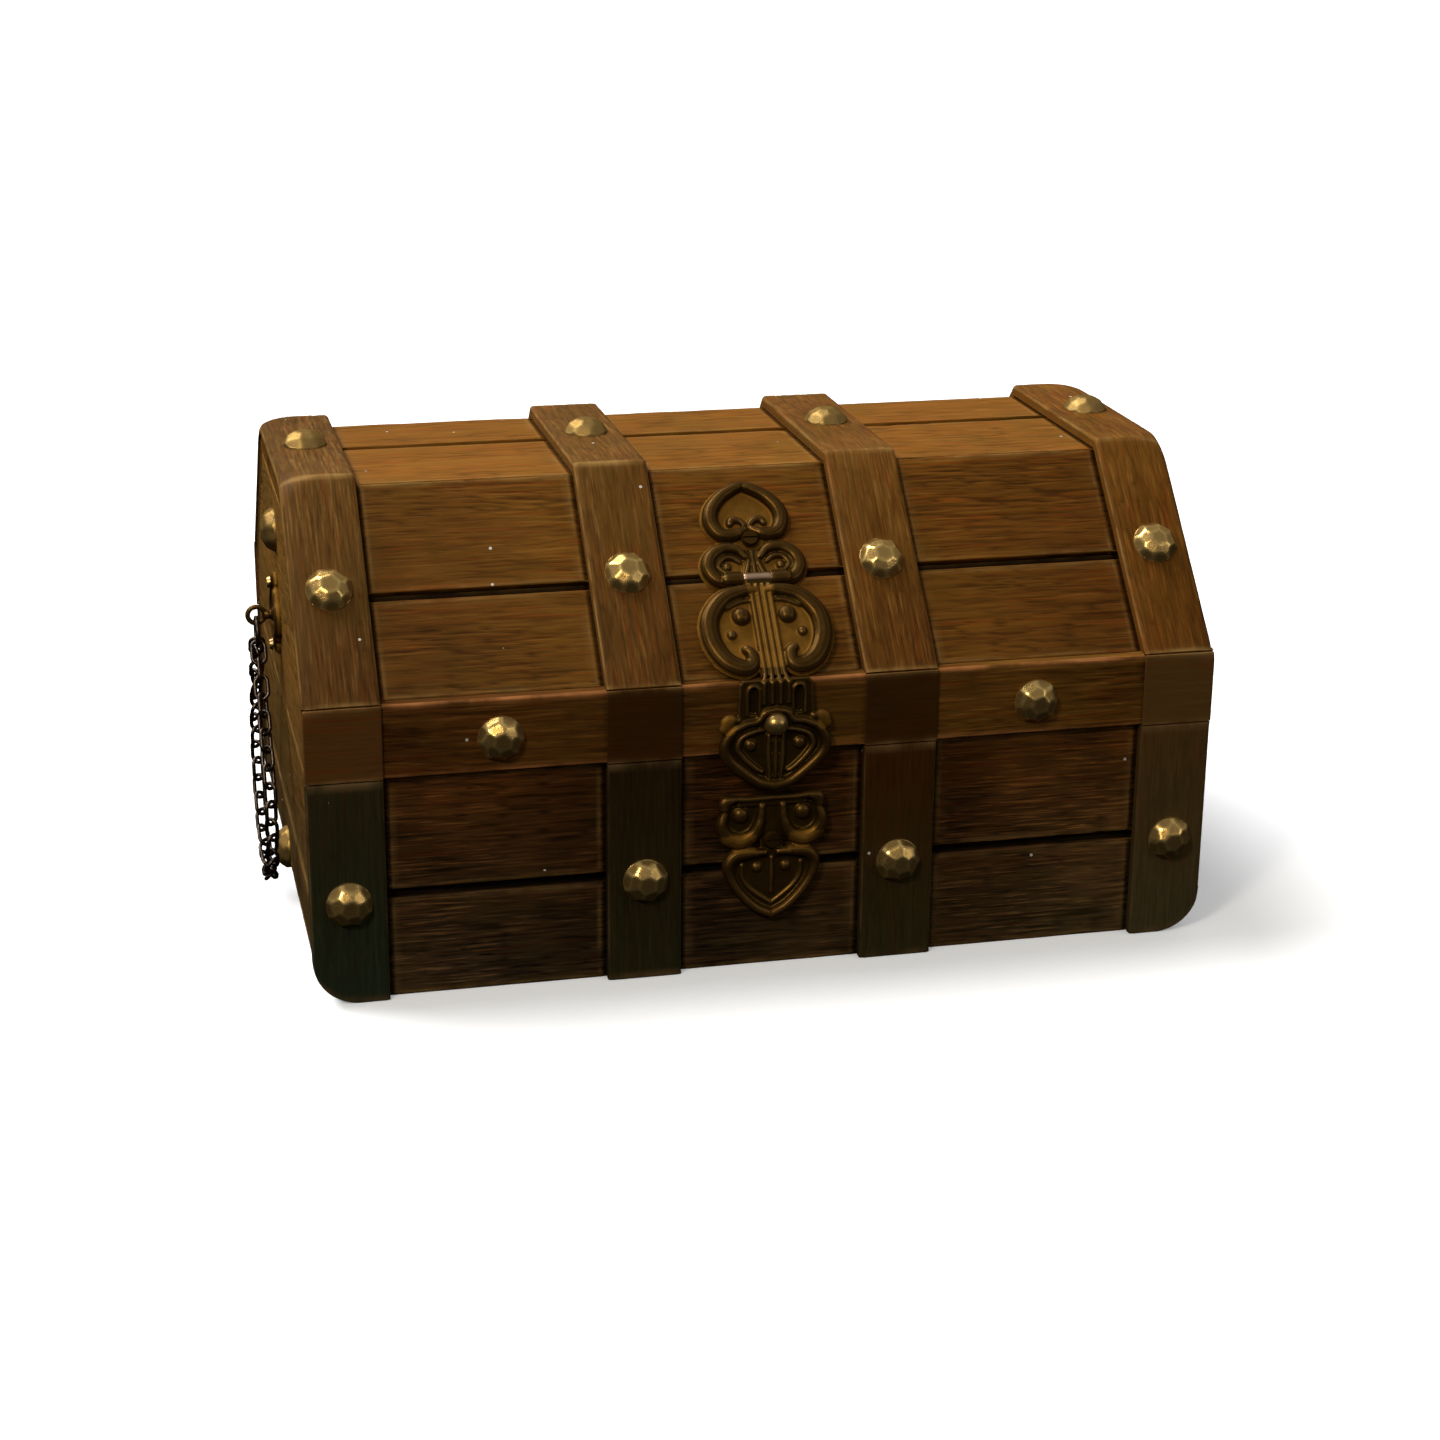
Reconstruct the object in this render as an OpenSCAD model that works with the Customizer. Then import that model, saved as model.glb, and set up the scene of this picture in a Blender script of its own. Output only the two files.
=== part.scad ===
// Treasure chest ornament that opens on trapped air bubbles.
// Origin at the middle of the underside: +X right, +Y back, +Z up, millimetres.

/* [Chest] */
// Length over the straps
chest_l = 200; // [190:1:210]
// Depth over the straps
chest_d = 133; // [128:1:138]
// Height of the base, up to the parting line
base_h = 50; // [49:0.5:54]
// Radius of the base's bottom edge at each end
foot_r = 10; // [3:0.5:11]

/* [Lid] */
// Height of the upright rail
rail_h = 16.4; // [15.5:0.1:18]
// Rise of the sloping faces
slope_rise = 40; // [38:0.5:43]
// Run of the sloping faces
slope_run = 37.7; // [36:0.1:40]
// Gap at the parting line
lid_gap = 0.2; // [0.1:0.05:0.4]
// Opening angle at which the hinge tails meet their stops
lid_open = 50; // [35:1:55]

/* [Boards and straps] */
// Thickness of the upright boards
board_t = 7; // [6:0.5:8]
// Thickness of the lid planks
plank_t = 5; // [4.5:0.25:6]
// Depth of the lid planks below the strap faces
plank_d = 2.6; // [2:0.1:3]
// Depth of the rails below the strap faces
rail_d = 0.7; // [0.4:0.1:1]
// Depth of the base boards below the strap faces
base_d = 2.5; // [2:0.1:3]
// Depth of the end faces below the strap edges
end_d = 0.4; // [0.2:0.1:0.8]
// Width of a strap
strap_w = 16.2; // [15:0.2:17]
// Distance of the inner straps from the middle
inner_x = 28.3; // [27:0.1:30]
// Width of the grooves between planks
groove_w = 2; // [1.5:0.1:2.5]
// Depth of the grooves between planks
groove_t = 1.6; // [1:0.1:2]

/* [Studs] */
// Diameter of a stud's head
stud_dia = 9.8; // [8:0.1:11]
// Height of a stud's head
stud_h = 3.3; // [2.5:0.1:3.4]
// Height of the studs on the base's faces
base_stud_z = 23; // [20:0.5:26]
// Distance of the rail studs from the middle
rail_stud_x = 59; // [55:0.5:64]

/* [Hasp] */
// Distance of the hasp's pin up the front slope
hasp_s = 24.9; // [23:0.1:27]
// Thickness of the cast plates
plate_t = 1.6; // [1.4:0.1:1.8]
// Lowest point of the hinged leaf
leaf_z = 41.7; // [41.3:0.1:43]

/* [Chains] */
// Wire of a link
wire = 0.9; // [0.8:0.05:0.95]
// Radius of a link's round ends, to the middle of the wire
link_r = 1.5; // [1.45:0.05:1.6]
// Half the length of a link's straight sides
link_a = 1.16; // [1.1:0.02:1.3]
// Radius of the loop's round bottom
loop_r = 20.5; // [18:0.5:21]
// Height of the loop's lowest link
loop_z = 8; // [7:0.5:10]
// Where the chains hang, from the middle towards the front
chain_y = 5; // [0:0.5:8]
// Stand-off of the chains from the end faces
chain_off = 5; // [4.9:0.1:5.5]

/* [Air line] */
// Outer radius of the inlet stub, for 4 mm airline
stub_r = 2.4; // [2.2:0.05:2.6]
// Length of the inlet stub's plain part
stub_l = 10; // [8:0.5:12]
// Height of the air line
air_z = 15; // [14.5:0.5:16]
// Radius of the bubble stone
stone_r = 6.5; // [5.5:0.1:6.8]
// Length of the bubble stone
stone_l = 60; // [50:1:62]

/* [Hidden] */

$fn = 48;
eps = 0.01;

// Chest
half_l = chest_l / 2;
half_d = chest_d / 2;
end_x = half_l - end_d;
lid_z = base_h + lid_gap;
rail_top = base_h + rail_h;
top_z = rail_top + slope_rise;
top_half = half_d - slope_run;
slope_a = atan2(slope_rise, slope_run);
floor_t = 6;
mitre_gap = 0.06;
strap_xs = [-half_l + strap_w / 2, -inner_x, inner_x, half_l - strap_w / 2];
groove_z = 23.5;
groove_s = 26.5;
groove_y = 5;
top_groove_w = groove_w + 1;

// Studs, screws and nails
shank_r = 0.9;
shank_l = 6;
slope_stud_s = 27.5;
rail_stud_z = 57.5;
end_stud_y = 3;
lid_end_stud_z = 88;
base_end_stud_z = 12;
screw_r = 0.7;

// Rear hinges, on the inner straps
barrel_r = 1.6;
hinge_pin_r = 0.8;
hinge_pin_bore = 0.83;
leaf_w = 14;
leaf_t = 0.8;
leaf_h = 9;
knuckle_w = 4.4;
hinge_y = half_d + barrel_r + 0.05;
hinge_z = base_h + lid_gap / 2;
tail_l = 6;
tail_t = 1;
hinge_screw_x = 4.6;
hinge_screw_z = 7.5;

// Hasp
ground_t = 0.7;
hasp_barrel_r = 1.4;
hasp_pin_r = 0.7;
hasp_pin_bore = 0.73;
hasp_pin_d = -0.8;
leaf_gap = 0.3;
leaf_slope_d = 1;
leaf_front_d = rail_d - leaf_gap;
hasp_top_s = 48.8;
upper_screw_s = 34.7;
lower_top_z = 40.5;
lower_tip_z = 11;
lower_screw_z = 29.8;
knob_z = 57;

// Chains
chain_x = end_x + chain_off;
eye_z = 69;
eye_r = 1.9;
eye_wire = 1.2;
ring_r = 3.2;
ring_wire = 1;
ring_top_z = eye_z - eye_r + eye_wire / 2 + ring_wire / 2 + 0.05;
ring_z = ring_top_z - ring_r;
first_link = ring_r - ring_wire / 2 - wire / 2 - 0.06 + link_a + link_r;
loop_c = loop_z + loop_r;
apex_h = ring_z - loop_c;
side_l = sqrt(apex_h * apex_h - loop_r * loop_r);
side_a = asin(loop_r / apex_h);
arc_l = loop_r * (180 + 2 * side_a) * PI / 180;
span_l = 2 * side_l + arc_l - 2 * first_link;
link_pitch = 2 * (link_a + link_r) - wire - 0.12;
link_steps = 2 * ceil(span_l / (2 * link_pitch));
twist_links = 4;

// Inside
inlet_r = 3.4;
slab_x = 34;
slab_t = 16;
heap_z = floor_t + slab_t;
heap_h = 11.5;
heap_ball_r = 560;
bell_half_l = 60;
bell_wall = 1.6;
bell_back_y = -10;
bell_low_z = 58;

// A point s up the front slope and d below its strap face, as [y, z]
function on_slope(s, d) = [
    -half_d + s * cos(slope_a) + d * sin(slope_a),
    rail_top + s * sin(slope_a) - d * cos(slope_a),
];
// The bend between the front slope and the top, d below the strap faces
function ridge(d) = [-top_half + d * (1 - cos(slope_a)) / sin(slope_a), top_z - d];
// Where the underside of the slope's planks meets the inner face of the rail
rail_in_y = -half_d + rail_d + board_t;
function under_plank_z(y, d) =
    rail_top + (y + half_d) * tan(slope_a) - d / cos(slope_a);
// Distance up the slope at which planks start, level with the rail's top
first_s = plank_d / tan(slope_a);
inner_d = plank_d + plank_t;

// --- Frames of the faces: x across, y up the face, z out of it ---

module on_front() {
    translate([0, -half_d, 0]) rotate([90, 0, 0]) children();
}

module on_back() {
    mirror([0, 1, 0]) on_front() children();
}

module on_front_slope() {
    translate([0, -half_d, rail_top]) rotate([slope_a, 0, 0]) children();
}

module on_back_slope() {
    mirror([0, 1, 0]) on_front_slope() children();
}

module on_left_end() {
    translate([-end_x, 0, 0]) rotate([90, 0, -90]) children();
}

module on_right_end() {
    mirror([1, 0, 0]) on_left_end() children();
}

// An outline in [y, z], extruded along X from x0 to x1
module prism_x(x0, x1) {
    translate([x0, 0, 0]) rotate([90, 0, 90]) linear_extrude(x1 - x0) children();
}

module both_sides_y() {
    children();
    mirror([0, 1, 0]) children();
}

// --- Studs and screws ---

module stud() {
    ball_r = (pow(stud_dia / 2, 2) + pow(stud_h, 2)) / (2 * stud_h);
    intersection() {
        translate([0, 0, stud_h - ball_r]) sphere(ball_r);
        translate([-stud_dia, -stud_dia, 0]) cube([2 * stud_dia, 2 * stud_dia, 2 * stud_h]);
    }
    translate([0, 0, -shank_l]) cylinder(r = shank_r, h = shank_l + eps);
}

module shank_hole() {
    translate([0, 0, -shank_l]) cylinder(r = shank_r + 0.02, h = shank_l + 2);
}

module screw(head_r, head_h, length) {
    difference() {
        cylinder(r1 = head_r, r2 = head_r * 0.8, h = head_h);
        translate([-head_r, -0.25, head_h * 0.5]) cube([2 * head_r, 0.5, head_h]);
    }
    translate([0, 0, -length]) cylinder(r = screw_r, h = length + eps);
}

module screw_hole(length) {
    translate([0, 0, -length]) cylinder(r = screw_r + 0.02, h = length + 2);
}

module at_base_studs() {
    for (x = strap_xs) {
        on_front() translate([x, base_stud_z, 0]) children();
        on_back() translate([x, base_stud_z, 0]) children();
    }
    on_left_end() translate([end_stud_y, base_end_stud_z, 0]) children();
    on_right_end() translate([end_stud_y, base_end_stud_z, 0]) children();
}

module at_strap_studs() {
    for (x = strap_xs) {
        on_front_slope() translate([x, slope_stud_s, 0]) children();
        translate([x, 0, top_z]) children();
        on_back_slope() translate([x, slope_stud_s, 0]) children();
    }
}

module at_rail_studs() {
    for (x = [-rail_stud_x, rail_stud_x]) {
        on_front() translate([x, rail_stud_z, -rail_d]) children();
        on_back() translate([x, rail_stud_z, -rail_d]) children();
    }
    on_left_end() translate([end_stud_y, lid_end_stud_z, 0]) children();
    on_right_end() translate([end_stud_y, lid_end_stud_z, 0]) children();
}

module base_studs() {
    color("goldenrod") at_base_studs() stud();
}

module lid_strap_studs() {
    color("goldenrod") at_strap_studs() stud();
}

module lid_rail_studs() {
    color("goldenrod") at_rail_studs() stud();
}

// --- Base ---

// The base seen from the front, with rounded bottom corners, as [x, z]
module base_outline(half_w) {
    translate([-half_w, foot_r]) square([2 * half_w, base_h - foot_r]);
    translate([-half_w + foot_r, 0]) square([2 * (half_w - foot_r), foot_r + eps]);
    for (side = [-1, 1]) intersection() {
        translate([side * (half_w - foot_r), foot_r]) circle(foot_r);
        translate([-half_w, 0]) square([2 * half_w, foot_r + eps]);
    }
}

module base_floor() {
    half_w = end_x - board_t;
    half_in = half_d - base_d - board_t;
    color("saddlebrown") translate([-half_w, -half_in, 0])
        cube([2 * half_w, 2 * half_in, floor_t]);
}

module base_long_board() {
    translate([0, -half_d + base_d + board_t, 0]) rotate([90, 0, 0])
        linear_extrude(board_t) base_outline(end_x);
}

module groove_cut() {
    on_front() translate([-half_l, groove_z - groove_w / 2, -base_d - groove_t])
        cube([chest_l, groove_w, groove_t + 1]);
}

module base_front_board() {
    color("saddlebrown") difference() {
        base_long_board();
        groove_cut();
        at_base_studs() shank_hole();
        on_front() translate([0, lower_screw_z, -base_d]) screw_hole(5);
    }
}

module base_back_board() {
    color("saddlebrown") difference() {
        mirror([0, 1, 0]) base_long_board();
        mirror([0, 1, 0]) groove_cut();
        at_base_studs() shank_hole();
        at_hinge_screws(-1) screw_hole(5);
        translate([0, 0, air_z]) rotate([-90, 0, 0]) cylinder(r = inlet_r + 0.05, h = chest_d);
    }
}

module base_end() {
    half_in = half_d - base_d - board_t;
    intersection() {
        translate([-end_x, -half_in, 0]) cube([board_t, 2 * half_in, base_h]);
        translate([0, half_d, 0]) rotate([90, 0, 0])
            linear_extrude(chest_d) base_outline(end_x);
    }
}

module end_groove_cut() {
    on_left_end() translate([-half_d, groove_z - groove_w / 2, -groove_t])
        cube([chest_d, groove_w, groove_t + 1]);
}

module base_left_end() {
    color("sienna") difference() {
        base_end();
        end_groove_cut();
        at_base_studs() shank_hole();
    }
}

module base_right_end() {
    color("sienna") difference() {
        mirror([1, 0, 0]) base_end();
        mirror([1, 0, 0]) end_groove_cut();
        at_base_studs() shank_hole();
    }
}

// A front and a back upright over the boards, straps 1 to 4 from left to right
module base_strap(number) {
    color("peru") difference() {
        both_sides_y() translate([0, -half_d + base_d, 0]) rotate([90, 0, 0])
            linear_extrude(base_d) intersection() {
                base_outline(half_l);
                translate([strap_xs[number - 1] - strap_w / 2, 0]) square([strap_w, base_h]);
            }
        at_base_studs() shank_hole();
        at_hinge_screws(-1) screw_hole(5);
    }
}

// --- Lid ---

function flip(points) = [for (p = points) [-p[0], p[1]]];

function reversed(points) = [for (i = [len(points) - 1 : -1 : 0]) points[i]];

rail_chamfer = 0.9;
rail_outline = [
    [-half_d + rail_d, lid_z],
    [-half_d + rail_d, rail_top - rail_chamfer],
    [-half_d + rail_d + rail_chamfer, rail_top],
    on_slope(first_s, plank_d),
    on_slope(first_s, inner_d),
    [rail_in_y, under_plank_z(rail_in_y, inner_d)],
    [rail_in_y, lid_z],
];

tongue_d = plank_d + groove_t;
groove_lo = groove_s - groove_w / 2;
groove_hi = groove_s + groove_w / 2;
lower_plank_outline = [
    on_slope(first_s, plank_d),
    on_slope(groove_lo, plank_d),
    on_slope(groove_lo, tongue_d),
    on_slope(groove_hi, tongue_d),
    on_slope(groove_hi, inner_d),
    on_slope(first_s, inner_d),
];
upper_plank_outline = [
    on_slope(groove_hi, plank_d),
    ridge(plank_d),
    ridge(inner_d),
    on_slope(groove_hi, inner_d),
];
top_front_outline = [
    ridge(plank_d),
    [groove_y - top_groove_w / 2, top_z - plank_d],
    [groove_y - top_groove_w / 2, top_z - tongue_d],
    [groove_y + top_groove_w / 2, top_z - tongue_d],
    [groove_y + top_groove_w / 2, top_z - inner_d],
    ridge(inner_d),
];
top_back_outline = [
    [groove_y + top_groove_w / 2, top_z - plank_d],
    flip([ridge(plank_d)])[0],
    flip([ridge(inner_d)])[0],
    [groove_y + top_groove_w / 2, top_z - inner_d],
];
lid_end_outline = concat(
    [[rail_in_y, lid_z], [rail_in_y, under_plank_z(rail_in_y, inner_d)], ridge(inner_d)],
    reversed(flip([[rail_in_y, lid_z], [rail_in_y, under_plank_z(rail_in_y, inner_d)],
        ridge(inner_d)]))
);

// A board over the lid's whole length, less the holes of its studs and screws
module lid_board(outline) {
    difference() {
        prism_x(-end_x, end_x) polygon(outline);
        at_strap_studs() shank_hole();
        at_rail_studs() shank_hole();
        at_hinge_screws(1) screw_hole(5);
        on_front_slope() translate([0, upper_screw_s, -plank_d]) screw_hole(4);
    }
}

module lid_front_rail() {
    color("saddlebrown") lid_board(rail_outline);
}

module lid_back_rail() {
    color("saddlebrown") lid_board(flip(rail_outline));
}

module lid_front_lower_plank() {
    color("peru") lid_board(lower_plank_outline);
}

module lid_front_upper_plank() {
    color("peru") lid_board(upper_plank_outline);
}

module lid_top_front_plank() {
    color("burlywood") lid_board(top_front_outline);
}

module lid_top_back_plank() {
    color("burlywood") lid_board(top_back_outline);
}

module lid_back_upper_plank() {
    color("peru") lid_board(flip(upper_plank_outline));
}

module lid_back_lower_plank() {
    color("peru") lid_board(flip(lower_plank_outline));
}

module lid_end() {
    difference() {
        prism_x(-end_x, -end_x + board_t) polygon(lid_end_outline);
        on_left_end() translate([end_stud_y, lid_end_stud_z, 0]) shank_hole();
        on_left_end() at_nails() screw_hole(4);
    }
}

module lid_left_end() {
    color("sienna") lid_end();
}

module lid_right_end() {
    color("sienna") mirror([1, 0, 0]) lid_end();
}

slope_strip = [
    [-half_d, rail_top],
    ridge(0),
    ridge(plank_d),
    on_slope(first_s, plank_d),
];
// The top strip stops just short of the slope strips at each bend
function top_end(d) = [ridge(d)[0] + mitre_gap, ridge(d)[1]];
top_strip = concat([top_end(plank_d), top_end(0)], flip([top_end(0), top_end(plank_d)]));

// Front, top and back strips of one strap, straps 1 to 4 from left to right
module lid_strap(number) {
    x = strap_xs[number - 1];
    color("peru") difference() {
        for (outline = [slope_strip, top_strip, flip(slope_strip)])
            prism_x(x - strap_w / 2, x + strap_w / 2) polygon(outline);
        at_strap_studs() shank_hole();
    }
}

module lid_rail_plates() {
    color("sienna") difference() {
        for (x = strap_xs) {
            both_sides_y() translate([x - strap_w / 2, -half_d, lid_z])
                cube([strap_w, rail_d, rail_top - lid_z - rail_chamfer]);
        }
        at_hinge_screws(1) screw_hole(5);
    }
}

// --- Rear hinges ---

// Four screws on one side of the parting line: up is 1 for the lid and -1 for the base
module at_hinge_screws(up) {
    for (x = [-inner_x, inner_x], side = [-1, 1])
        translate([x + side * hinge_screw_x, half_d + leaf_t, hinge_z + up * hinge_screw_z])
            rotate([-90, 0, 0]) children();
}

module hinge_bores() {
    for (x = [-inner_x, inner_x])
        translate([x - leaf_w, hinge_y, hinge_z]) rotate([0, 90, 0])
            cylinder(r = hinge_pin_bore, h = 2 * leaf_w);
}

// One knuckle with the strip that joins it to its leaf
module knuckle(x, up) {
    translate([x - knuckle_w / 2, hinge_y, hinge_z]) rotate([0, 90, 0])
        cylinder(r = barrel_r, h = knuckle_w);
    translate([x - knuckle_w / 2, half_d, hinge_z + (up < 0 ? -barrel_r - 0.5 : 0)])
        cube([knuckle_w, leaf_t, barrel_r + 0.5]);
}

module base_hinge_leaves() {
    color("darkgoldenrod") difference() {
        for (x = [-inner_x, inner_x]) {
            translate([x - leaf_w / 2, half_d, hinge_z - barrel_r - 0.2 - leaf_h])
                cube([leaf_w, leaf_t, leaf_h]);
            knuckle(x - (leaf_w - knuckle_w) / 2, -1);
            knuckle(x + (leaf_w - knuckle_w) / 2, -1);
        }
        hinge_bores();
        at_hinge_screws(-1) screw_hole(2);
    }
}

module lid_hinge_leaves() {
    color("darkgoldenrod") difference() {
        for (x = [-inner_x, inner_x]) {
            translate([x - leaf_w / 2, half_d, hinge_z + barrel_r + 0.2])
                cube([leaf_w, leaf_t, leaf_h]);
            knuckle(x, 1);
            translate([x - knuckle_w / 2, hinge_y, hinge_z]) rotate([lid_open, 0, 0])
                translate([0, -barrel_r / 2, -tail_l])
                    cube([knuckle_w, tail_t, tail_l - hinge_pin_bore]);
        }
        hinge_bores();
        at_hinge_screws(1) screw_hole(2);
    }
}

module hinge_pins() {
    color("silver") for (x = [-inner_x, inner_x])
        translate([x - leaf_w / 2 - 0.5, hinge_y, hinge_z]) rotate([0, 90, 0])
            cylinder(r = hinge_pin_r, h = leaf_w + 1);
}

module base_hinge_screws() {
    color("darkgoldenrod") at_hinge_screws(-1) screw(1.3, 0.6, 5);
}

module lid_hinge_screws() {
    color("darkgoldenrod") at_hinge_screws(1) screw(1.3, 0.6, 5);
}

// --- Hasp ---

// Each plate is cast as a thin solid ground with raised loops on it. In the outlines below,
// raised is true for the loops alone and false for the ground, which has no holes.
module ring_outline(outer, inner, raised) {
    difference() {
        circle(outer);
        if (raised) circle(inner);
    }
}

module relief() {
    linear_extrude(plate_t) children(0);
    linear_extrude(ground_t) children(1);
}

// A spade: a ring drawn out to a point, tip_y from the ring's middle
module spade_outline(outer, inner, tip_y, raised) {
    tangent_a = acos(outer / abs(tip_y));
    difference() {
        union() {
            circle(outer);
            polygon([
                [outer * sin(tangent_a), sign(tip_y) * outer * cos(tangent_a)],
                [0, tip_y],
                [-outer * sin(tangent_a), sign(tip_y) * outer * cos(tangent_a)],
            ]);
        }
        if (raised) circle(inner);
    }
}

module scroll_pair(x, outer, inner, raised) {
    for (side = [-1, 1]) translate([side * x, 0]) ring_outline(outer, inner, raised);
}

module upper_plate_outline(raised) {
    spade_y = 39.6;
    translate([0, spade_y]) spade_outline(8.2, 5.2, hasp_top_s - spade_y, raised);
    translate([0, upper_screw_s]) circle(3);
    translate([0, 29.6]) scroll_pair(6.9, 5.1, 2.5, raised);
    translate([-2.6, 28]) square([5.2, 8]);
    translate([-7, hasp_s + 1.9]) square([14, 2.6]);
}

module hasp_barrel(x0, x1) {
    translate([x0, hasp_s, hasp_pin_d]) rotate([0, 90, 0])
        cylinder(r = hasp_barrel_r, h = x1 - x0);
}

module hasp_bore() {
    translate([-10, hasp_s, hasp_pin_d]) rotate([0, 90, 0])
        cylinder(r = hasp_pin_bore, h = 20);
}

module hasp_upper_plate() {
    color("darkolivegreen") on_front_slope() difference() {
        union() {
            translate([0, 0, -plank_d]) relief() {
                upper_plate_outline(true);
                upper_plate_outline(false);
            }
            for (side = [-1, 1]) {
                hasp_barrel(min(side * 3.2, side * 7), max(side * 3.2, side * 7));
                translate([side * 5.1 - 1.9, hasp_s + 0.4, -plank_d + 0.5])
                    cube([3.8, 2, plate_t]);
            }
        }
        hasp_bore();
        translate([0, upper_screw_s, -plank_d + plate_t]) screw_hole(6);
    }
}

module hasp_upper_screw() {
    color("darkolivegreen") on_front_slope()
        translate([0, upper_screw_s, -plank_d + plate_t]) screw(2, 0.8, 5);
}

module hasp_pin() {
    color("silver") on_front_slope() translate([-7.6, hasp_s, hasp_pin_d])
        rotate([0, 90, 0]) cylinder(r = hasp_pin_r, h = 15.2);
}

module leaf_slope_outline(raised) {
    translate([0, 12]) scroll_pair(7.3, 7.1, 4.1, raised);
    translate([-2.9, 2]) square([5.8, hasp_s - 4]);
    translate([-5, 2]) square([10, 3]);
}

neck_z = 58;
module leaf_front_outline(raised) {
    difference() {
        translate([-8.5, neck_z]) square([17, rail_top - neck_z]);
        for (side = [-1, 1])
            translate([side * 5.2 - 1.3, neck_z + 1]) square([2.6, 6.4]);
    }
    for (side = [-1, 1]) translate([side * 10, neck_z - 1]) circle(2.4);
    translate([-10, neck_z - 2]) square([20, 2.6]);
    heart_y = 52;
    translate([0, heart_y]) scroll_pair(6, 5.8, 3, raised);
    tip = leaf_z - heart_y;
    tip_a = acos(5.8 / norm([6, tip])) - atan2(6, -tip);
    difference() {
        polygon([
            [6 + 5.8 * sin(tip_a), heart_y - 5.8 * cos(tip_a)],
            [0, leaf_z],
            [-6 - 5.8 * sin(tip_a), heart_y - 5.8 * cos(tip_a)],
            [0, heart_y + 3],
        ]);
        if (raised) for (side = [-1, 1]) translate([side * 6, heart_y]) circle(3);
    }
}

// The leaf bends over the rail's edge, with leaf_gap below it
module hasp_leaf() {
    front_y = -half_d + leaf_front_d;
    bend_z = rail_top + 1.2;
    color("olivedrab") difference() {
        union() {
            on_front_slope() {
                translate([0, 0, -leaf_slope_d]) relief() {
                    leaf_slope_outline(true);
                    leaf_slope_outline(false);
                }
                hasp_barrel(-3, 3);
                translate([-2.9, hasp_s - 2.6, hasp_pin_d - 0.5]) cube([5.8, 2.6, plate_t]);
            }
            on_front() translate([0, 0, -leaf_front_d]) relief() {
                leaf_front_outline(true);
                leaf_front_outline(false);
            }
            prism_x(-5, 5) polygon([
                [front_y, rail_top - 3],
                [front_y - plate_t, rail_top - 3],
                [front_y - plate_t, bend_z - 0.5],
                on_slope(1.8, leaf_slope_d - plate_t),
                on_slope(4, leaf_slope_d - plate_t),
                on_slope(4, leaf_slope_d),
                on_slope(1.4, leaf_slope_d),
                [front_y, rail_top - 0.3],
            ]);
        }
        on_front_slope() hasp_bore();
        on_front() translate([0, knob_z, -1]) cylinder(r = 1.02, h = 5);
    }
}

module hasp_knob() {
    color("goldenrod") on_front() translate([0, knob_z, -leaf_front_d]) {
        cylinder(r = 1, h = plate_t + 0.5);
        translate([0, 0, plate_t]) intersection() {
            translate([0, 0, -0.6]) sphere(2.7);
            translate([-3, -3, 0]) cube(6);
        }
    }
}

module lower_plate_outline(raised) {
    spade_y = 20;
    translate([-8, lower_top_z - 3]) square([16, 3]);
    translate([0, 33]) scroll_pair(7.1, 5, 2.5, raised);
    translate([0, lower_screw_z]) circle(3);
    translate([-2.6, 26]) square([5.2, 12]);
    translate([0, spade_y]) spade_outline(7.8, 4.8, lower_tip_z - spade_y, raised);
}

module hasp_lower_plate() {
    color("darkolivegreen") on_front() difference() {
        translate([0, 0, -base_d]) relief() {
            lower_plate_outline(true);
            lower_plate_outline(false);
        }
        translate([0, lower_screw_z, -base_d + plate_t]) screw_hole(6);
    }
}

module hasp_lower_screw() {
    color("darkolivegreen") on_front()
        translate([0, lower_screw_z, -base_d + plate_t]) screw(2, 0.8, 5);
}

// --- Chains on the ends ---

nail_zs = [eye_z - 7, eye_z + 7.5];

module at_nails() {
    for (z = nail_zs) translate([chain_y, z, plate_t]) children();
}

module escutcheon() {
    difference() {
        union() {
            translate([chain_y, eye_z, 0]) linear_extrude(plate_t) {
                circle(5.2);
                for (side = [-1, 1]) translate([side * 4.6, 0]) circle(2.6);
                translate([0, 7.5]) circle(2.6);
                translate([0, -7]) circle(2.6);
                translate([-2, -7]) square([4, 14]);
            }
            translate([chain_y, eye_z, plate_t - eps])
                cylinder(r = 1.1, h = chain_off - eye_r - plate_t);
            translate([chain_y, eye_z, chain_off]) rotate([0, 90, 0])
                rotate_extrude() translate([eye_r, 0]) circle(d = eye_wire, $fn = 24);
        }
        at_nails() screw_hole(4);
    }
}

module left_escutcheon() {
    color("darkolivegreen") on_left_end() escutcheon();
}

module right_escutcheon() {
    color("darkolivegreen") on_right_end() escutcheon();
}

module escutcheon_nails() {
    color("goldenrod") {
        on_left_end() at_nails() screw(1.4, 0.7, 4);
        on_right_end() at_nails() screw(1.4, 0.7, 4);
    }
}

module hanging_ring() {
    translate([-chain_x, -chain_y, ring_z]) rotate([0, 90, 0])
        rotate_extrude() translate([ring_r, 0]) circle(d = ring_wire, $fn = 24);
}

module left_ring() {
    color("dimgray") hanging_ring();
}

module right_ring() {
    color("dimgray") mirror([1, 0, 0]) hanging_ring();
}

module half_link() {
    translate([0, link_a, 0]) rotate_extrude(angle = 180)
        translate([link_r, 0]) circle(d = wire, $fn = 24);
    translate([link_r, link_a, 0]) rotate([90, 0, 0])
        cylinder(d = wire, h = 2 * link_a, $fn = 24);
}

module chain_link() {
    half_link();
    rotate([0, 0, 180]) half_link();
}

// Heading of the loop at a distance s from its top, in degrees from straight down
function heading(s) =
    s < side_l ? side_a
    : s < side_l + arc_l ? side_a - (s - side_l) / loop_r * 180 / PI
    : -180 - side_a;

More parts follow.
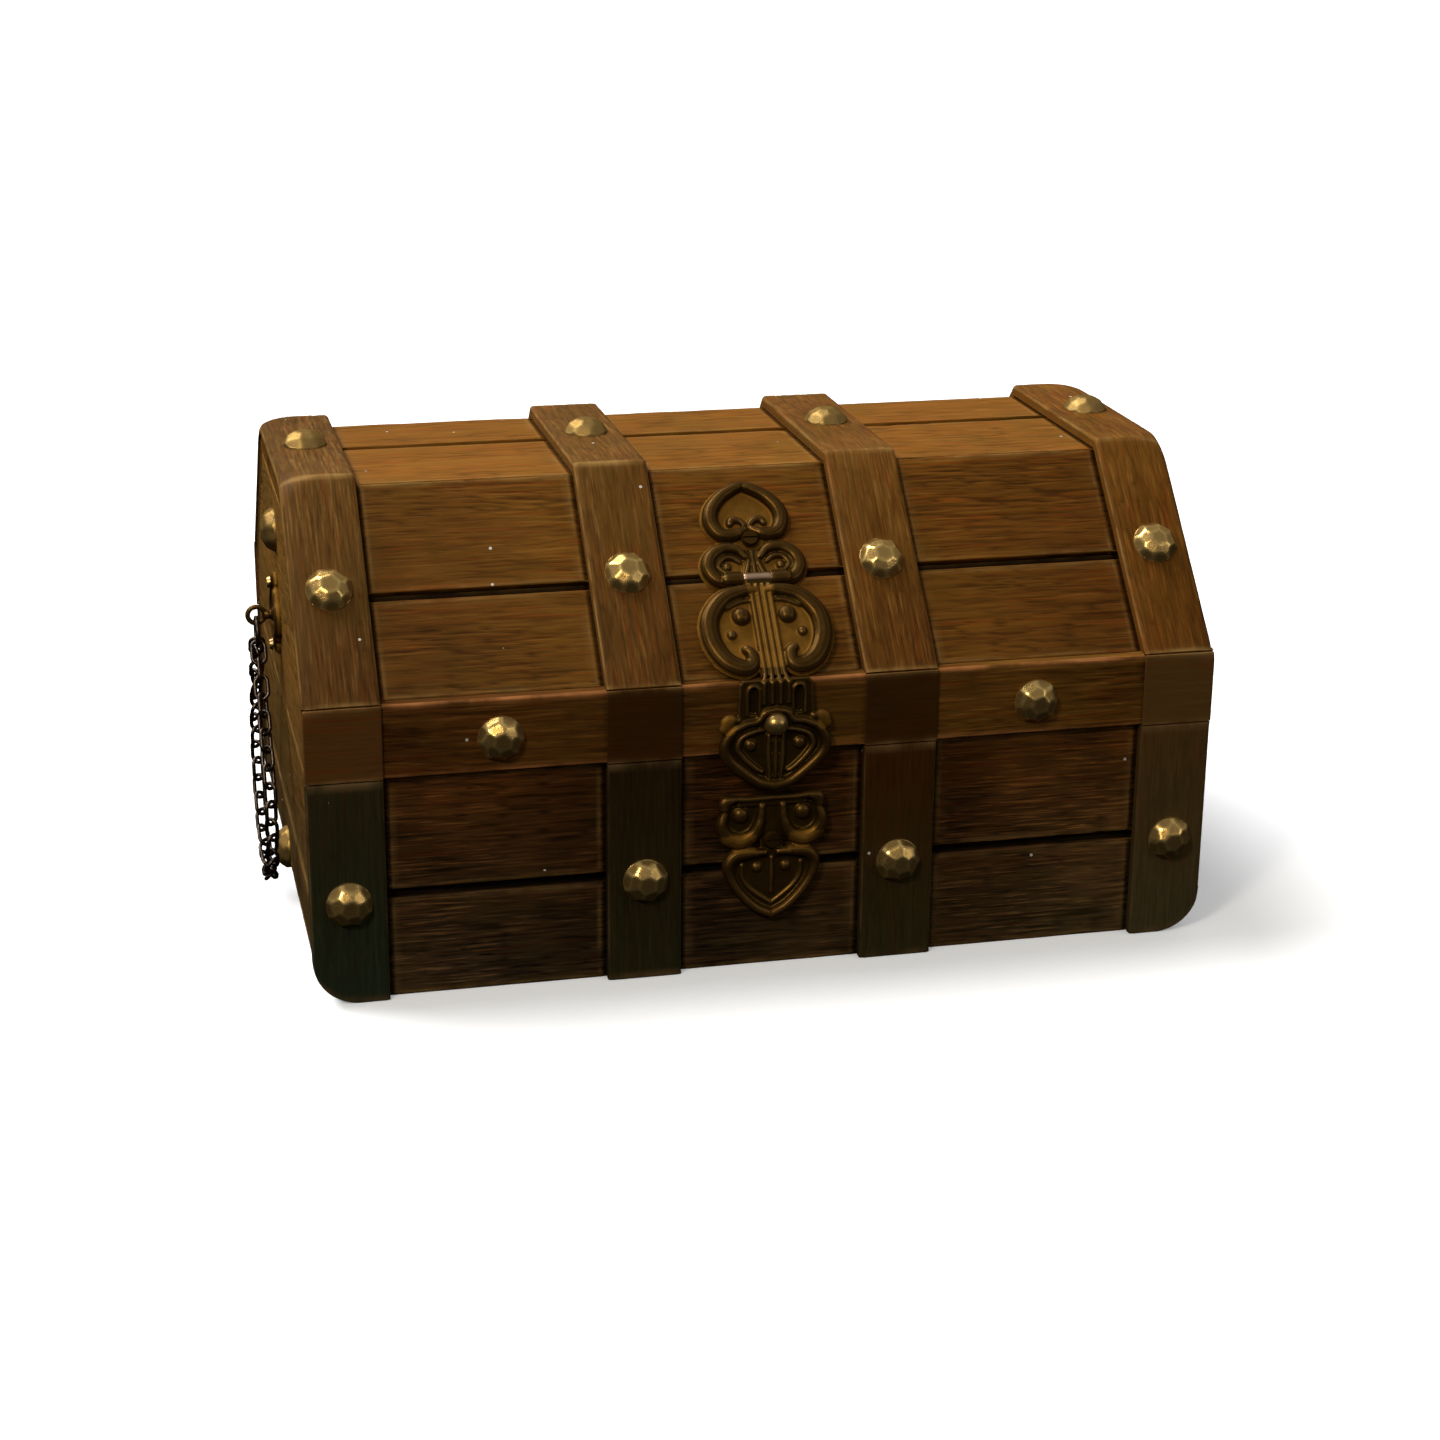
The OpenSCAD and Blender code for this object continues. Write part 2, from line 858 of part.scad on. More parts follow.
// Point of the loop at a distance s from its top, as [y, z] from the ring's middle
function loop_point(s) =
    s < side_l ? [-s * sin(side_a), -s * cos(side_a)]
    : s < side_l + arc_l ? [-loop_r * cos(heading(s)), loop_r * sin(heading(s)) - apex_h]
    : let (left = 2 * side_l + arc_l - s) [left * sin(side_a), -left * cos(side_a)];

// Neighbouring links stand square to each other, and turn as they near the ring
function link_roll(i) =
    (i % 2 == 0 ? 45 : -45)
    - 45 * max(0, 1 - min(i, link_steps - i) / twist_links);

module chain_loop() {
    for (i = [0 : link_steps]) {
        s = first_link + i * span_l / link_steps;
        p = loop_point(s);
        translate([-chain_x, -chain_y + p[0], ring_z + p[1]])
            rotate([-90 - heading(s), 0, 0]) rotate([0, link_roll(i), 0]) chain_link();
    }
}

module left_chain() {
    color("dimgray") chain_loop();
}

module right_chain() {
    color("dimgray") mirror([1, 0, 0]) chain_loop();
}

// --- Air line and inside ---

// Along +Y through the back board, from the spigot inside to the stub outside
module air_inlet() {
    inner_y = half_d - base_d;
    color("white") translate([0, inner_y, air_z]) rotate([-90, 0, 0]) difference() {
        union() {
            translate([0, 0, -24]) cylinder(r = 1.95, h = 11);
            translate([0, 0, -14]) cylinder(r = inlet_r, h = 14);
            cylinder(r = 6, h = 2);
            translate([0, 0, 2 - eps]) cylinder(r = stub_r, h = stub_l + eps);
            translate([0, 0, 2 + stub_l]) cylinder(r1 = stub_r, r2 = stub_r * 0.75, h = 3);
        }
        translate([0, 0, -25]) cylinder(r = 1.2, h = 50);
    }
}

module inlet_nut() {
    nut_t = 4;
    color("white") translate([0, half_d - base_d - board_t - nut_t, air_z])
        rotate([-90, 0, 0]) difference() {
            cylinder(r = 6.8, h = nut_t, $fn = 6);
            translate([0, 0, -1]) cylinder(r = inlet_r + 0.05, h = nut_t + 2);
        }
}

module air_tube() {
    tube_end = half_d - base_d - 14.2;
    color("lightblue") translate([0, 3, air_z]) rotate([-90, 0, 0]) difference() {
        cylinder(r = 3, h = tube_end - 3);
        translate([0, 0, -1]) cylinder(r = 2, h = tube_end);
    }
}

module bubble_stone() {
    color("lightsteelblue") difference() {
        translate([-stone_l / 2, 0, air_z]) rotate([0, 90, 0])
            cylinder(r = stone_r, h = stone_l);
        translate([0, 3, air_z]) rotate([-90, 0, 0]) cylinder(r = 3.05, h = stone_r);
    }
}

module ballast_slabs() {
    slab_l = end_x - board_t - 2 - slab_x;
    slab_w = chest_d - 2 * (base_d + board_t) - 4;
    color("slategray") for (x = [slab_x, -slab_x - slab_l])
        translate([x, -slab_w / 2, floor_t]) cube([slab_l, slab_w, slab_t]);
}

module treasure_heap() {
    half_w = end_x - board_t - 1;
    half_in = half_d - base_d - board_t - 1;
    color("gold") difference() {
        intersection() {
            translate([0, 0, heap_z + heap_h - heap_ball_r]) sphere(heap_ball_r, $fn = 240);
            translate([-half_w, -half_in, heap_z]) cube([2 * half_w, 2 * half_in, 20]);
        }
        translate([-26, -4, 0]) cube([52, 8, top_z]);
    }
}

// An open-bottomed trough that fits under the front planks and traps the bubbles
function bell_outline(wall) = [
    [rail_in_y + 3 + wall, bell_low_z - (wall > 0 ? 1 : 0)],
    [rail_in_y + 3 + wall, under_plank_z(rail_in_y + 3 + wall, inner_d + wall)],
    [ridge(inner_d + wall)[0], top_z - inner_d - wall],
    [bell_back_y - wall, top_z - inner_d - wall],
    [bell_back_y - wall, bell_low_z - (wall > 0 ? 1 : 0)],
];

module air_bell() {
    inner_half_l = bell_half_l - bell_wall;
    color("lightcyan") difference() {
        prism_x(-bell_half_l, bell_half_l) polygon(bell_outline(0));
        prism_x(-inner_half_l, inner_half_l) polygon(bell_outline(bell_wall));
    }
}

base_floor();
base_front_board();
base_back_board();
base_left_end();
base_right_end();
base_strap(1);  // base_strap_1
base_strap(2);  // base_strap_2
base_strap(3);  // base_strap_3
base_strap(4);  // base_strap_4
base_studs();
base_hinge_leaves();
base_hinge_screws();
hasp_lower_plate();
hasp_lower_screw();
air_inlet();
inlet_nut();
air_tube();
bubble_stone();
ballast_slabs();
treasure_heap();
lid_front_rail();
lid_back_rail();
lid_left_end();
lid_right_end();
lid_front_lower_plank();
lid_front_upper_plank();
lid_top_front_plank();
lid_top_back_plank();
lid_back_upper_plank();
lid_back_lower_plank();
lid_strap(1);  // lid_strap_1
lid_strap(2);  // lid_strap_2
lid_strap(3);  // lid_strap_3
lid_strap(4);  // lid_strap_4
lid_rail_plates();
lid_strap_studs();
lid_rail_studs();
lid_hinge_leaves();
hinge_pins();
lid_hinge_screws();
hasp_upper_plate();
hasp_upper_screw();
hasp_pin();
air_bell();
left_escutcheon();
right_escutcheon();
escutcheon_nails();
hasp_leaf();
hasp_knob();
left_ring();
right_ring();
left_chain();
right_chain();
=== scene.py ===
"""A wooden treasure chest ornament: carved boards, hammered studs, a cast hasp and the treasure, around the frame."""

import math

import bmesh
import bpy
import numpy as np
from mathutils import Euler, Matrix, Vector
from mathutils.bvhtree import BVHTree
from mathutils.geometry import delaunay_2d_cdt


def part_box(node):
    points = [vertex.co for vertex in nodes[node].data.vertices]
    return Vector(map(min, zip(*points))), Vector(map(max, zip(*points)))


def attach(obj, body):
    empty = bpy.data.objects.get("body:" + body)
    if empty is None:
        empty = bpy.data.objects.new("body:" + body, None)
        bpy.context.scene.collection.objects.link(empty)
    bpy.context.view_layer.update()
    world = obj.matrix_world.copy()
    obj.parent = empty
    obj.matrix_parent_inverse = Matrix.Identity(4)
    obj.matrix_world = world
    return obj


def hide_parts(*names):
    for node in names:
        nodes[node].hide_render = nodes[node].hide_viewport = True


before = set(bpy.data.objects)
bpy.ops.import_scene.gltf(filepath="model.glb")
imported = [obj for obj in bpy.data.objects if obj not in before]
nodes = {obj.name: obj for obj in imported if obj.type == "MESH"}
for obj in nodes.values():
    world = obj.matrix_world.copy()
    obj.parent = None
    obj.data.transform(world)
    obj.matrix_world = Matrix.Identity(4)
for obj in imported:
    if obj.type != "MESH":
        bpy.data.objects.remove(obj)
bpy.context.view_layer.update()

# Shapes are worked out in millimetres and scaled by MM when their mesh is made.
MM = 0.001


# --- Sizes: depths are measured from the strap faces, s is measured up the front slope ---


def box_mm(node):
    """The lowest and highest corner of a CAD node."""
    low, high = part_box(node)
    return np.array(low) / MM, np.array(high) / MM


strap_low, strap_high = box_mm("lid_strap_1")
top_plank_low, top_plank_high = box_mm("lid_top_back_plank")
board_low, board_high = box_mm("base_front_board")
rail_low, _ = box_mm("lid_front_rail")

HALF_L = -strap_low[0]
HALF_D = -strap_low[1]
RAIL_TOP = strap_low[2]
TOP_Z = strap_high[2]
STRAP_W = strap_high[0] - strap_low[0]
STRAP_XS = [float(sum(box_mm(f"lid_strap_{i}")[k][0] for k in (0, 1)) / 2) for i in (1, 2, 3, 4)]
BASE_H = board_high[2]
END_X = board_high[0]
BOARD_T = board_high[1] - board_low[1]
BASE_D = HALF_D + board_low[1]
RAIL_D = HALF_D + rail_low[1]
LID_Z = rail_low[2]
LID_END_TOP = box_mm("lid_left_end")[1][2]
PLANK_D = TOP_Z - top_plank_high[2]
INNER_D = TOP_Z - top_plank_low[2]
RAIL_IN = HALF_D - RAIL_D - BOARD_T

# The design's own dimensions that no node's box gives.
SLOPE_RUN = 37.7
FOOT_R = 10.0
GROOVE_W = 2.0
GROOVE_T = 1.6
GROOVE_Z = 23.5
GROOVE_S = 26.5
GROOVE_Y = 5.0
TOP_GROOVE_W = GROOVE_W + 1.0
RAIL_CHAMFER = 0.5

# How the outer edges of the two end straps are worn round.
BLUNT_W = 4.5
BLUNT_D = 1.1
WORN_REACH = 8.0
WORN_RIDGE_R = 18.0
WORN_RAIL_R = 8.0

# The studs' size and their places. On the straps they sit at the strap's middle.
STUD_R = 4.9
STUD_H = 3.3
BASE_STUD_Z = 23.0
SLOPE_STUD_S = 27.5
RAIL_STUD_X = 59.0
RAIL_STUD_Z = 57.5
END_STUD_Y = 3.0
LID_END_STUD_Z = 88.0
BASE_END_STUD_Z = 12.0

# The painted shade of the base's four straps at the foot and at the parting line, from left to right, as the light
# falls on them.
UPRIGHT_SHADES = [((0.52, 1.2, 2.2), (0.69, 0.96, 1.2)), ((0.66, 0.96, 1.2), (0.60, 0.55, 0.44)),
                 ((0.84, 1.17, 1.4), (1.16, 0.76, 0.31)), ((1.55, 2.05, 3.0), (2.08, 1.94, 1.85))]

SLOPE_A = math.atan2(TOP_Z - RAIL_TOP, SLOPE_RUN)
TOP_HALF = HALF_D - SLOPE_RUN
COS_A = math.cos(SLOPE_A)
SIN_A = math.sin(SLOPE_A)


def on_slope(s, d):
    """A point s up the front slope and d below its strap face, as (y, z)."""
    return (-HALF_D + s * COS_A + d * SIN_A, RAIL_TOP + s * SIN_A - d * COS_A)


def ridge(d):
    """The bend between the front slope and the top, d below the strap faces."""
    return (-TOP_HALF + d * (1 - COS_A) / SIN_A, TOP_Z - d)


# --- Camera, floor and light ---

WHITE = (1, 1, 1, 1)
# The place, in metres, that the lights are turned to.
MIDDLE = (0, 0, 0.06)


def add_object(name, data):
    made = bpy.data.objects.new(name, data)
    bpy.context.scene.collection.objects.link(made)
    return made


def make_camera():
    data = bpy.data.cameras.new("camera")
    data.sensor_width = 36
    data.lens = 69.4
    data.clip_start = 0.01
    camera = add_object("camera", data)
    yaw, pitch, roll = math.radians(-13.39), math.radians(-19.18), math.radians(-0.51)
    turn = Matrix.Rotation(yaw, 4, "Z") @ Matrix.Rotation(pitch, 4, "X") @ Matrix.Rotation(roll, 4, "Y")
    place = Matrix.Translation((-0.14107, -0.60826, 0.25213))
    camera.matrix_world = place @ turn @ Matrix.Rotation(math.pi / 2, 4, "X")
    bpy.context.scene.camera = camera


def make_floor():
    half = 12.0
    mesh = bpy.data.meshes.new("floor")
    mesh.from_pydata([(-half, -half, 0), (half, -half, 0), (half, half, 0), (-half, half, 0)], [], [(0, 1, 2, 3)])
    m = Nodes(bpy.data.materials.new("pale_floor"))
    mesh.materials.append(m.finish((0.92, 0.92, 0.92), 0.9, Specular_IOR_Level=0.1, Emission_Color=WHITE,
                                   Emission_Strength=0.2))
    floor = add_object("floor", mesh)
    # The floor takes the shadow but throws no light back at the chest.
    floor.visible_diffuse = False
    floor.visible_glossy = False


def make_light():
    """A dome that fades towards the horizon, a soft sun and three disks. The camera sees plain white behind."""
    scene = bpy.context.scene
    scene.view_settings.view_transform = "Standard"
    scene.world = bpy.data.worlds.new("studio")
    m = Nodes(scene.world)
    m.tree.nodes.clear()
    height = m.axis(m.add("TexCoord").outputs["Generated"], "Z")
    dome = m.add("Background", Color=WHITE, Strength=m.remap(height, -0.02, 0.5, 0.0, 0.45))
    backdrop = m.add("Background", Color=WHITE)
    mix = m.add("MixShader", Fac=m.add("LightPath").outputs["Is Camera Ray"])
    m.link(dome.outputs[0], mix.inputs[1])
    m.link(backdrop.outputs[0], mix.inputs[2])
    m.add("OutputWorld", Surface=mix.outputs[0])
    add_light("key", "SUN", (-0.50, 0.44, 1.0), 4.1).data.angle = math.radians(40)
    add_light("glint", "AREA", (-0.5, -0.62, 0.62), 2.8, (1.0, 0.93, 0.8), 0.17)
    add_light("fill", "AREA", (0.85, -0.75, 0.45), 1.2, size=0.5)
    # A wide soft light that only shows as a reflection in the metal.
    add_light("sheen", "AREA", (-0.55, -0.68, 0.62), 4.8, (1.0, 0.9, 0.68), 0.5).visible_diffuse = False


def add_light(name, kind, place, energy, color=(1, 1, 1), size=None):
    """A light at that place, in metres, turned to MIDDLE. size is the diameter of a disk."""
    data = bpy.data.lights.new(name, kind)
    data.energy = energy
    data.color = color
    if size:
        data.shape = "DISK"
        data.size = size
    light = add_object(name, data)
    light.location = place
    light.rotation_euler = (Vector(MIDDLE) - Vector(place)).to_track_quat("-Z", "Y").to_euler()
    return light


# --- Node helpers ---


class Nodes:
    """Short names for the nodes of a material or of the world."""

    def __init__(self, owner):
        owner.use_nodes = True
        self.owner = owner
        self.tree = owner.node_tree

    def add(self, kind, **inputs):
        node = self.tree.nodes.new("ShaderNode" + kind)
        self.fill(node, inputs)
        return node

    def fill(self, node, inputs):
        """Set or link a node's inputs, by their names with _ for each space."""
        for name, value in inputs.items():
            self.link(value, node.inputs[name.replace("_", " ")])

    def link(self, value, socket):
        if isinstance(value, bpy.types.NodeSocket):
            self.tree.links.new(value, socket)
        else:
            socket.default_value = value

    def coords(self, stretch=(1, 1, 1)):
        """Object coordinates in millimetres, divided by stretch along each axis."""
        return self.scaled(self.add("TexCoord").outputs["Object"], [1 / (MM * s) for s in stretch])

    def scaled(self, vector, factors):
        node = self.add("VectorMath")
        node.operation = "MULTIPLY"
        self.link(vector, node.inputs[0])
        node.inputs[1].default_value = factors
        return node.outputs[0]

    def axis(self, vector, name):
        return self.add("SeparateXYZ", Vector=vector).outputs[name]

    def attribute(self, name, output="Fac"):
        node = self.add("Attribute")
        node.attribute_name = name
        return node.outputs[output]

    def noise(self, vector, scale=1.0, detail=3.0, roughness=0.55, distortion=0.0):
        return self.add("TexNoise", Vector=vector, Scale=scale, Detail=detail, Roughness=roughness,
                        Distortion=distortion).outputs["Fac"]

    def voronoi(self, vector, scale):
        return self.add("TexVoronoi", Vector=vector, Scale=scale).outputs["Distance"]

    def remap(self, value, low, high, to_low=0.0, to_high=1.0):
        return self.add("MapRange", Value=value, From_Min=low, From_Max=high, To_Min=to_low,
                        To_Max=to_high).outputs["Result"]

    def math(self, operation, a, b=0.0):
        node = self.add("Math")
        node.operation = operation
        self.link(a, node.inputs[0])
        self.link(b, node.inputs[1])
        return node.outputs[0]

    def times(self, a, b):
        return self.math("MULTIPLY", a, b)

    def mix(self, factor, a, b, blend="MIX"):
        node = self.add("Mix")
        node.data_type = "RGBA"
        node.blend_type = blend
        self.fill(node, {"Factor": factor, "A": rgba(a), "B": rgba(b)})
        return node.outputs["Result"]

    def paint_shade(self, color, tone):
        """A colour multiplied by a tone of painted shade."""
        return self.mix(1.0, color, tone, "MULTIPLY")

    def bump(self, height, distance, strength):
        """Relief of that depth in millimetres."""
        return self.add("Bump", Distance=distance * MM, Strength=strength, Height=height).outputs["Normal"]

    def finish(self, color, roughness, normal=None, **fixed):
        """Fill the shader and give its material. fixed are further inputs."""
        shader = self.tree.nodes["Principled BSDF"]
        self.fill(shader, {"Base_Color": rgba(color), "Roughness": roughness, **fixed})
        if normal is not None:
            self.link(normal, shader.inputs["Normal"])
        return self.owner


def rgba(color):
    return (*color, 1.0) if isinstance(color, tuple) and len(color) == 3 else color


def toned(color, tone):
    return tuple(c * t for c, t in zip(color, tone))


# --- Materials ---

# Painted shade, with some grime, in grooves, at the parting line and beside the straps.
SHADE_AND_SOOT = (0.006, 0.003, 0.001)
DUST = (0.62, 0.58, 0.5)
# The hasp's ochre ground; it is also painted on some raised parts as light.
OCHRE = (0.24, 0.11, 0.016)
# Bright bare metal on the hinge barrel's rubbing, also a painted highlight.
RUBBED_HIGHLIGHT_METAL = (0.5, 0.33, 0.22)
# How far from the middle the painted shade between the outer straps starts to fade, and where it ends.
INNER_FADE = (45, 65)
# The heights of the hasp's foot and of its hinge on the lid, between which the hasp's painted shade changes.
HASP_SPAN = (10, 75)


def wood(name, stretch, dark, middle, light, worn_and_highlight=(0.34, 0.19, 0.055), wear=0.6, gloss=0.55,
         shade=((1, 1, 1), (1, 1, 1)), foot_shade=None, inner=None):
    """Stained wood with rubbing at its edges, and painted shade. stretch is the grain's length along each axis, or None
    for a strap's own grain. The edge colour marks rubbing and also paints highlight lines along edges. shade is the
    painted shade that the wood's colour is multiplied by at the left end and at the right, the foot's tone is a low
    height, a high one and the painted shade at them, and inner is the painted shade over what lies between the outer
    straps."""
    m = Nodes(bpy.data.materials.new(name))
    if stretch is None:
        grain = m.attribute("grain", "Vector")
        fine = m.scaled(grain, (1 / 9, 1 / 0.55, 1))
        broad = m.scaled(grain, (1 / 30, 1 / 2.2, 1))
    else:
        fine = m.coords(stretch)
        broad = m.scaled(fine, (0.4, 0.25, 0.25))
    spots = m.coords()
    streak = m.noise(fine, 1.0, 3.0, 0.6, 0.2)
    figure = m.noise(broad, 1.0, 2.0, 0.5, 0.3)
    cloud = m.noise(spots, 0.03, 2.0)
    color = m.mix(m.remap(streak, 0.36, 0.46), dark, middle)
    color = m.mix(m.remap(streak, 0.54, 0.63), color, light)
    color = m.mix(m.remap(figure, 0.38, 0.6, 0.4, 0.0), color, dark)
    color = m.mix(m.remap(cloud, 0.42, 0.7, 0.0, 0.35), color, light)
    blush = m.noise(m.scaled(fine, (0.6, 0.7, 0.7)), 1.0, 2.0, 0.5, 0.4)
    color = m.mix(m.remap(blush, 0.54, 0.68, 0.0, 0.55), color, toned(middle, (1.3, 0.74, 0.6)))
    fade = m.remap(m.noise(spots, 0.055, 2.0), 0.5, 0.66, 0.0, 0.5)
    color = m.mix(fade, color, toned(middle, (0.74, 0.86, 0.8)))
    color = m.mix(m.times(m.attribute("carve"), 0.7), color, tuple(0.4 * c for c in dark))
    # Painted shade, with some grime, in grooves and beside the straps.
    color = m.mix(m.attribute("soot"), color, SHADE_AND_SOOT)
    across = m.axis(spots, "X")
    # Painted shade: lighter or darker from left to right, between the outer straps and up from the foot, as the light
    # falls.
    color = m.paint_shade(color, m.mix(m.remap(across, -HALF_L, HALF_L), *shade))
    if inner:
        color = m.paint_shade(color, m.mix(m.remap(m.math("ABSOLUTE", across), *INNER_FADE), inner, (1, 1, 1)))
    if foot_shade:
        low, high, low_tone, high_tone = foot_shade
        color = m.paint_shade(color, m.mix(m.remap(m.axis(spots, "Z"), low, high), low_tone, high_tone))
    broken = m.remap(m.noise(spots, 0.11, 3.0), 0.36, 0.6, 0.15, 1.0)
    # Rubbing at the edges, with painted highlight lines along the rail's chamfer and the straps' edges.
    color = m.mix(m.times(m.attribute("wear"), m.times(broken, wear)), color, worn_and_highlight)
    speck = m.math("LESS_THAN", m.voronoi(spots, 0.095), 0.033)
    color = m.mix(m.times(speck, 0.8), color, DUST)
    roughness = m.remap(streak, 0.3, 0.7, gloss - 0.1, gloss + 0.14)
    return m.finish(color, roughness, m.bump(streak, 0.1, 0.9), Specular_IOR_Level=0.03)


def metal(name, base, patina, shine, roughness, cover=0.5, fade=None, tint=(1, 1, 1), metallic=1.0, dull_shade=None,
          specular=0.5):
    """Cast or hammered metal, with patina in its hollows and rubbing on its high spots. With fade, its ground is ochre
    and a painted shade sets its brightness from the first value at the hasp's foot to the second at the lid. A darker
    colour can be given for the top and the ends, painted there as shade, where the metal is also rougher."""
    m = Nodes(bpy.data.materials.new(name))
    place = m.coords()
    cloud = m.noise(place, 0.35, 4.0)
    grit = m.noise(place, 3.0, 3.0)
    hollow = m.remap(m.attribute("cavity"), 0.15, -0.5)
    high = m.remap(m.attribute("cavity"), 0.1, 0.8)
    color = m.mix(m.remap(cloud, 0.4, 0.7, 0.0, cover), base, patina)
    color = m.mix(m.times(hollow, 0.8), color, patina)
    color = m.mix(m.times(high, 0.7), color, shine)
    rough = m.remap(cloud, 0.3, 0.7, roughness - 0.06, roughness + 0.12)
    if fade:
        # The ochre ground, raised parts painted ochre as light, and the barrel's bright band as a painted highlight.
        ground = m.attribute("ground")
        color = m.mix(m.times(ground, m.remap(cloud, 0.3, 0.6, 0.6, 1.0)), color, OCHRE)
        color = m.mix(m.attribute("rub_highlight"), color, RUBBED_HIGHLIGHT_METAL)
        # Painted shade over the hasp's height.
        color = m.paint_shade(color, m.remap(m.axis(place, "Z"), *HASP_SPAN, *fade))
        rough = m.math("ADD", rough, m.times(ground, 0.25))
    if dull_shade:
        # The top and the ends are painted darker as shade, and made rougher.
        past_end = m.remap(m.math("ABSOLUTE", m.axis(place, "X")), END_X - 1, END_X)
        dull_shade_mask = m.math("MAXIMUM", m.remap(m.axis(place, "Z"), TOP_Z - 2, TOP_Z), past_end)
        color = m.mix(dull_shade_mask, color, dull_shade)
        rough = m.math("ADD", rough, m.times(dull_shade_mask, 0.22))
    normal = m.bump(m.math("ADD", m.times(cloud, 2.0), grit), 0.05, 0.6)
    return m.finish(color, rough, normal, Metallic=metallic, Specular_Tint=(*tint, 1), Specular_IOR_Level=specular)


def plastic(name, base, tint, roughness, **fixed):
    """Moulded plastic with a faint texture."""
    m = Nodes(bpy.data.materials.new(name))
    place = m.coords()
    cloud = m.noise(place, 0.2, 3.0)
    color = m.mix(m.remap(cloud, 0.35, 0.7), base, tint)
    rough = m.remap(m.noise(place, 1.2, 3.0), 0.3, 0.7, roughness - 0.05, roughness + 0.1)
    return m.finish(color, rough, m.bump(cloud, 0.04, 0.5), **fixed)


def stone(name, base, dark, pore_scale):
    """Sintered or split stone: pores and grains."""
    m = Nodes(bpy.data.materials.new(name))
    place = m.coords()
    pores = m.voronoi(place, pore_scale)
    cloud = m.noise(place, 0.3, 4.0)
    color = m.mix(m.remap(pores, 0.05, 0.5), dark, base)
    color = m.mix(m.remap(cloud, 0.35, 0.65, 0.0, 0.5), color, tuple(0.6 * c for c in base))
    return m.finish(color, 0.85, m.bump(pores, 0.35, 0.9))


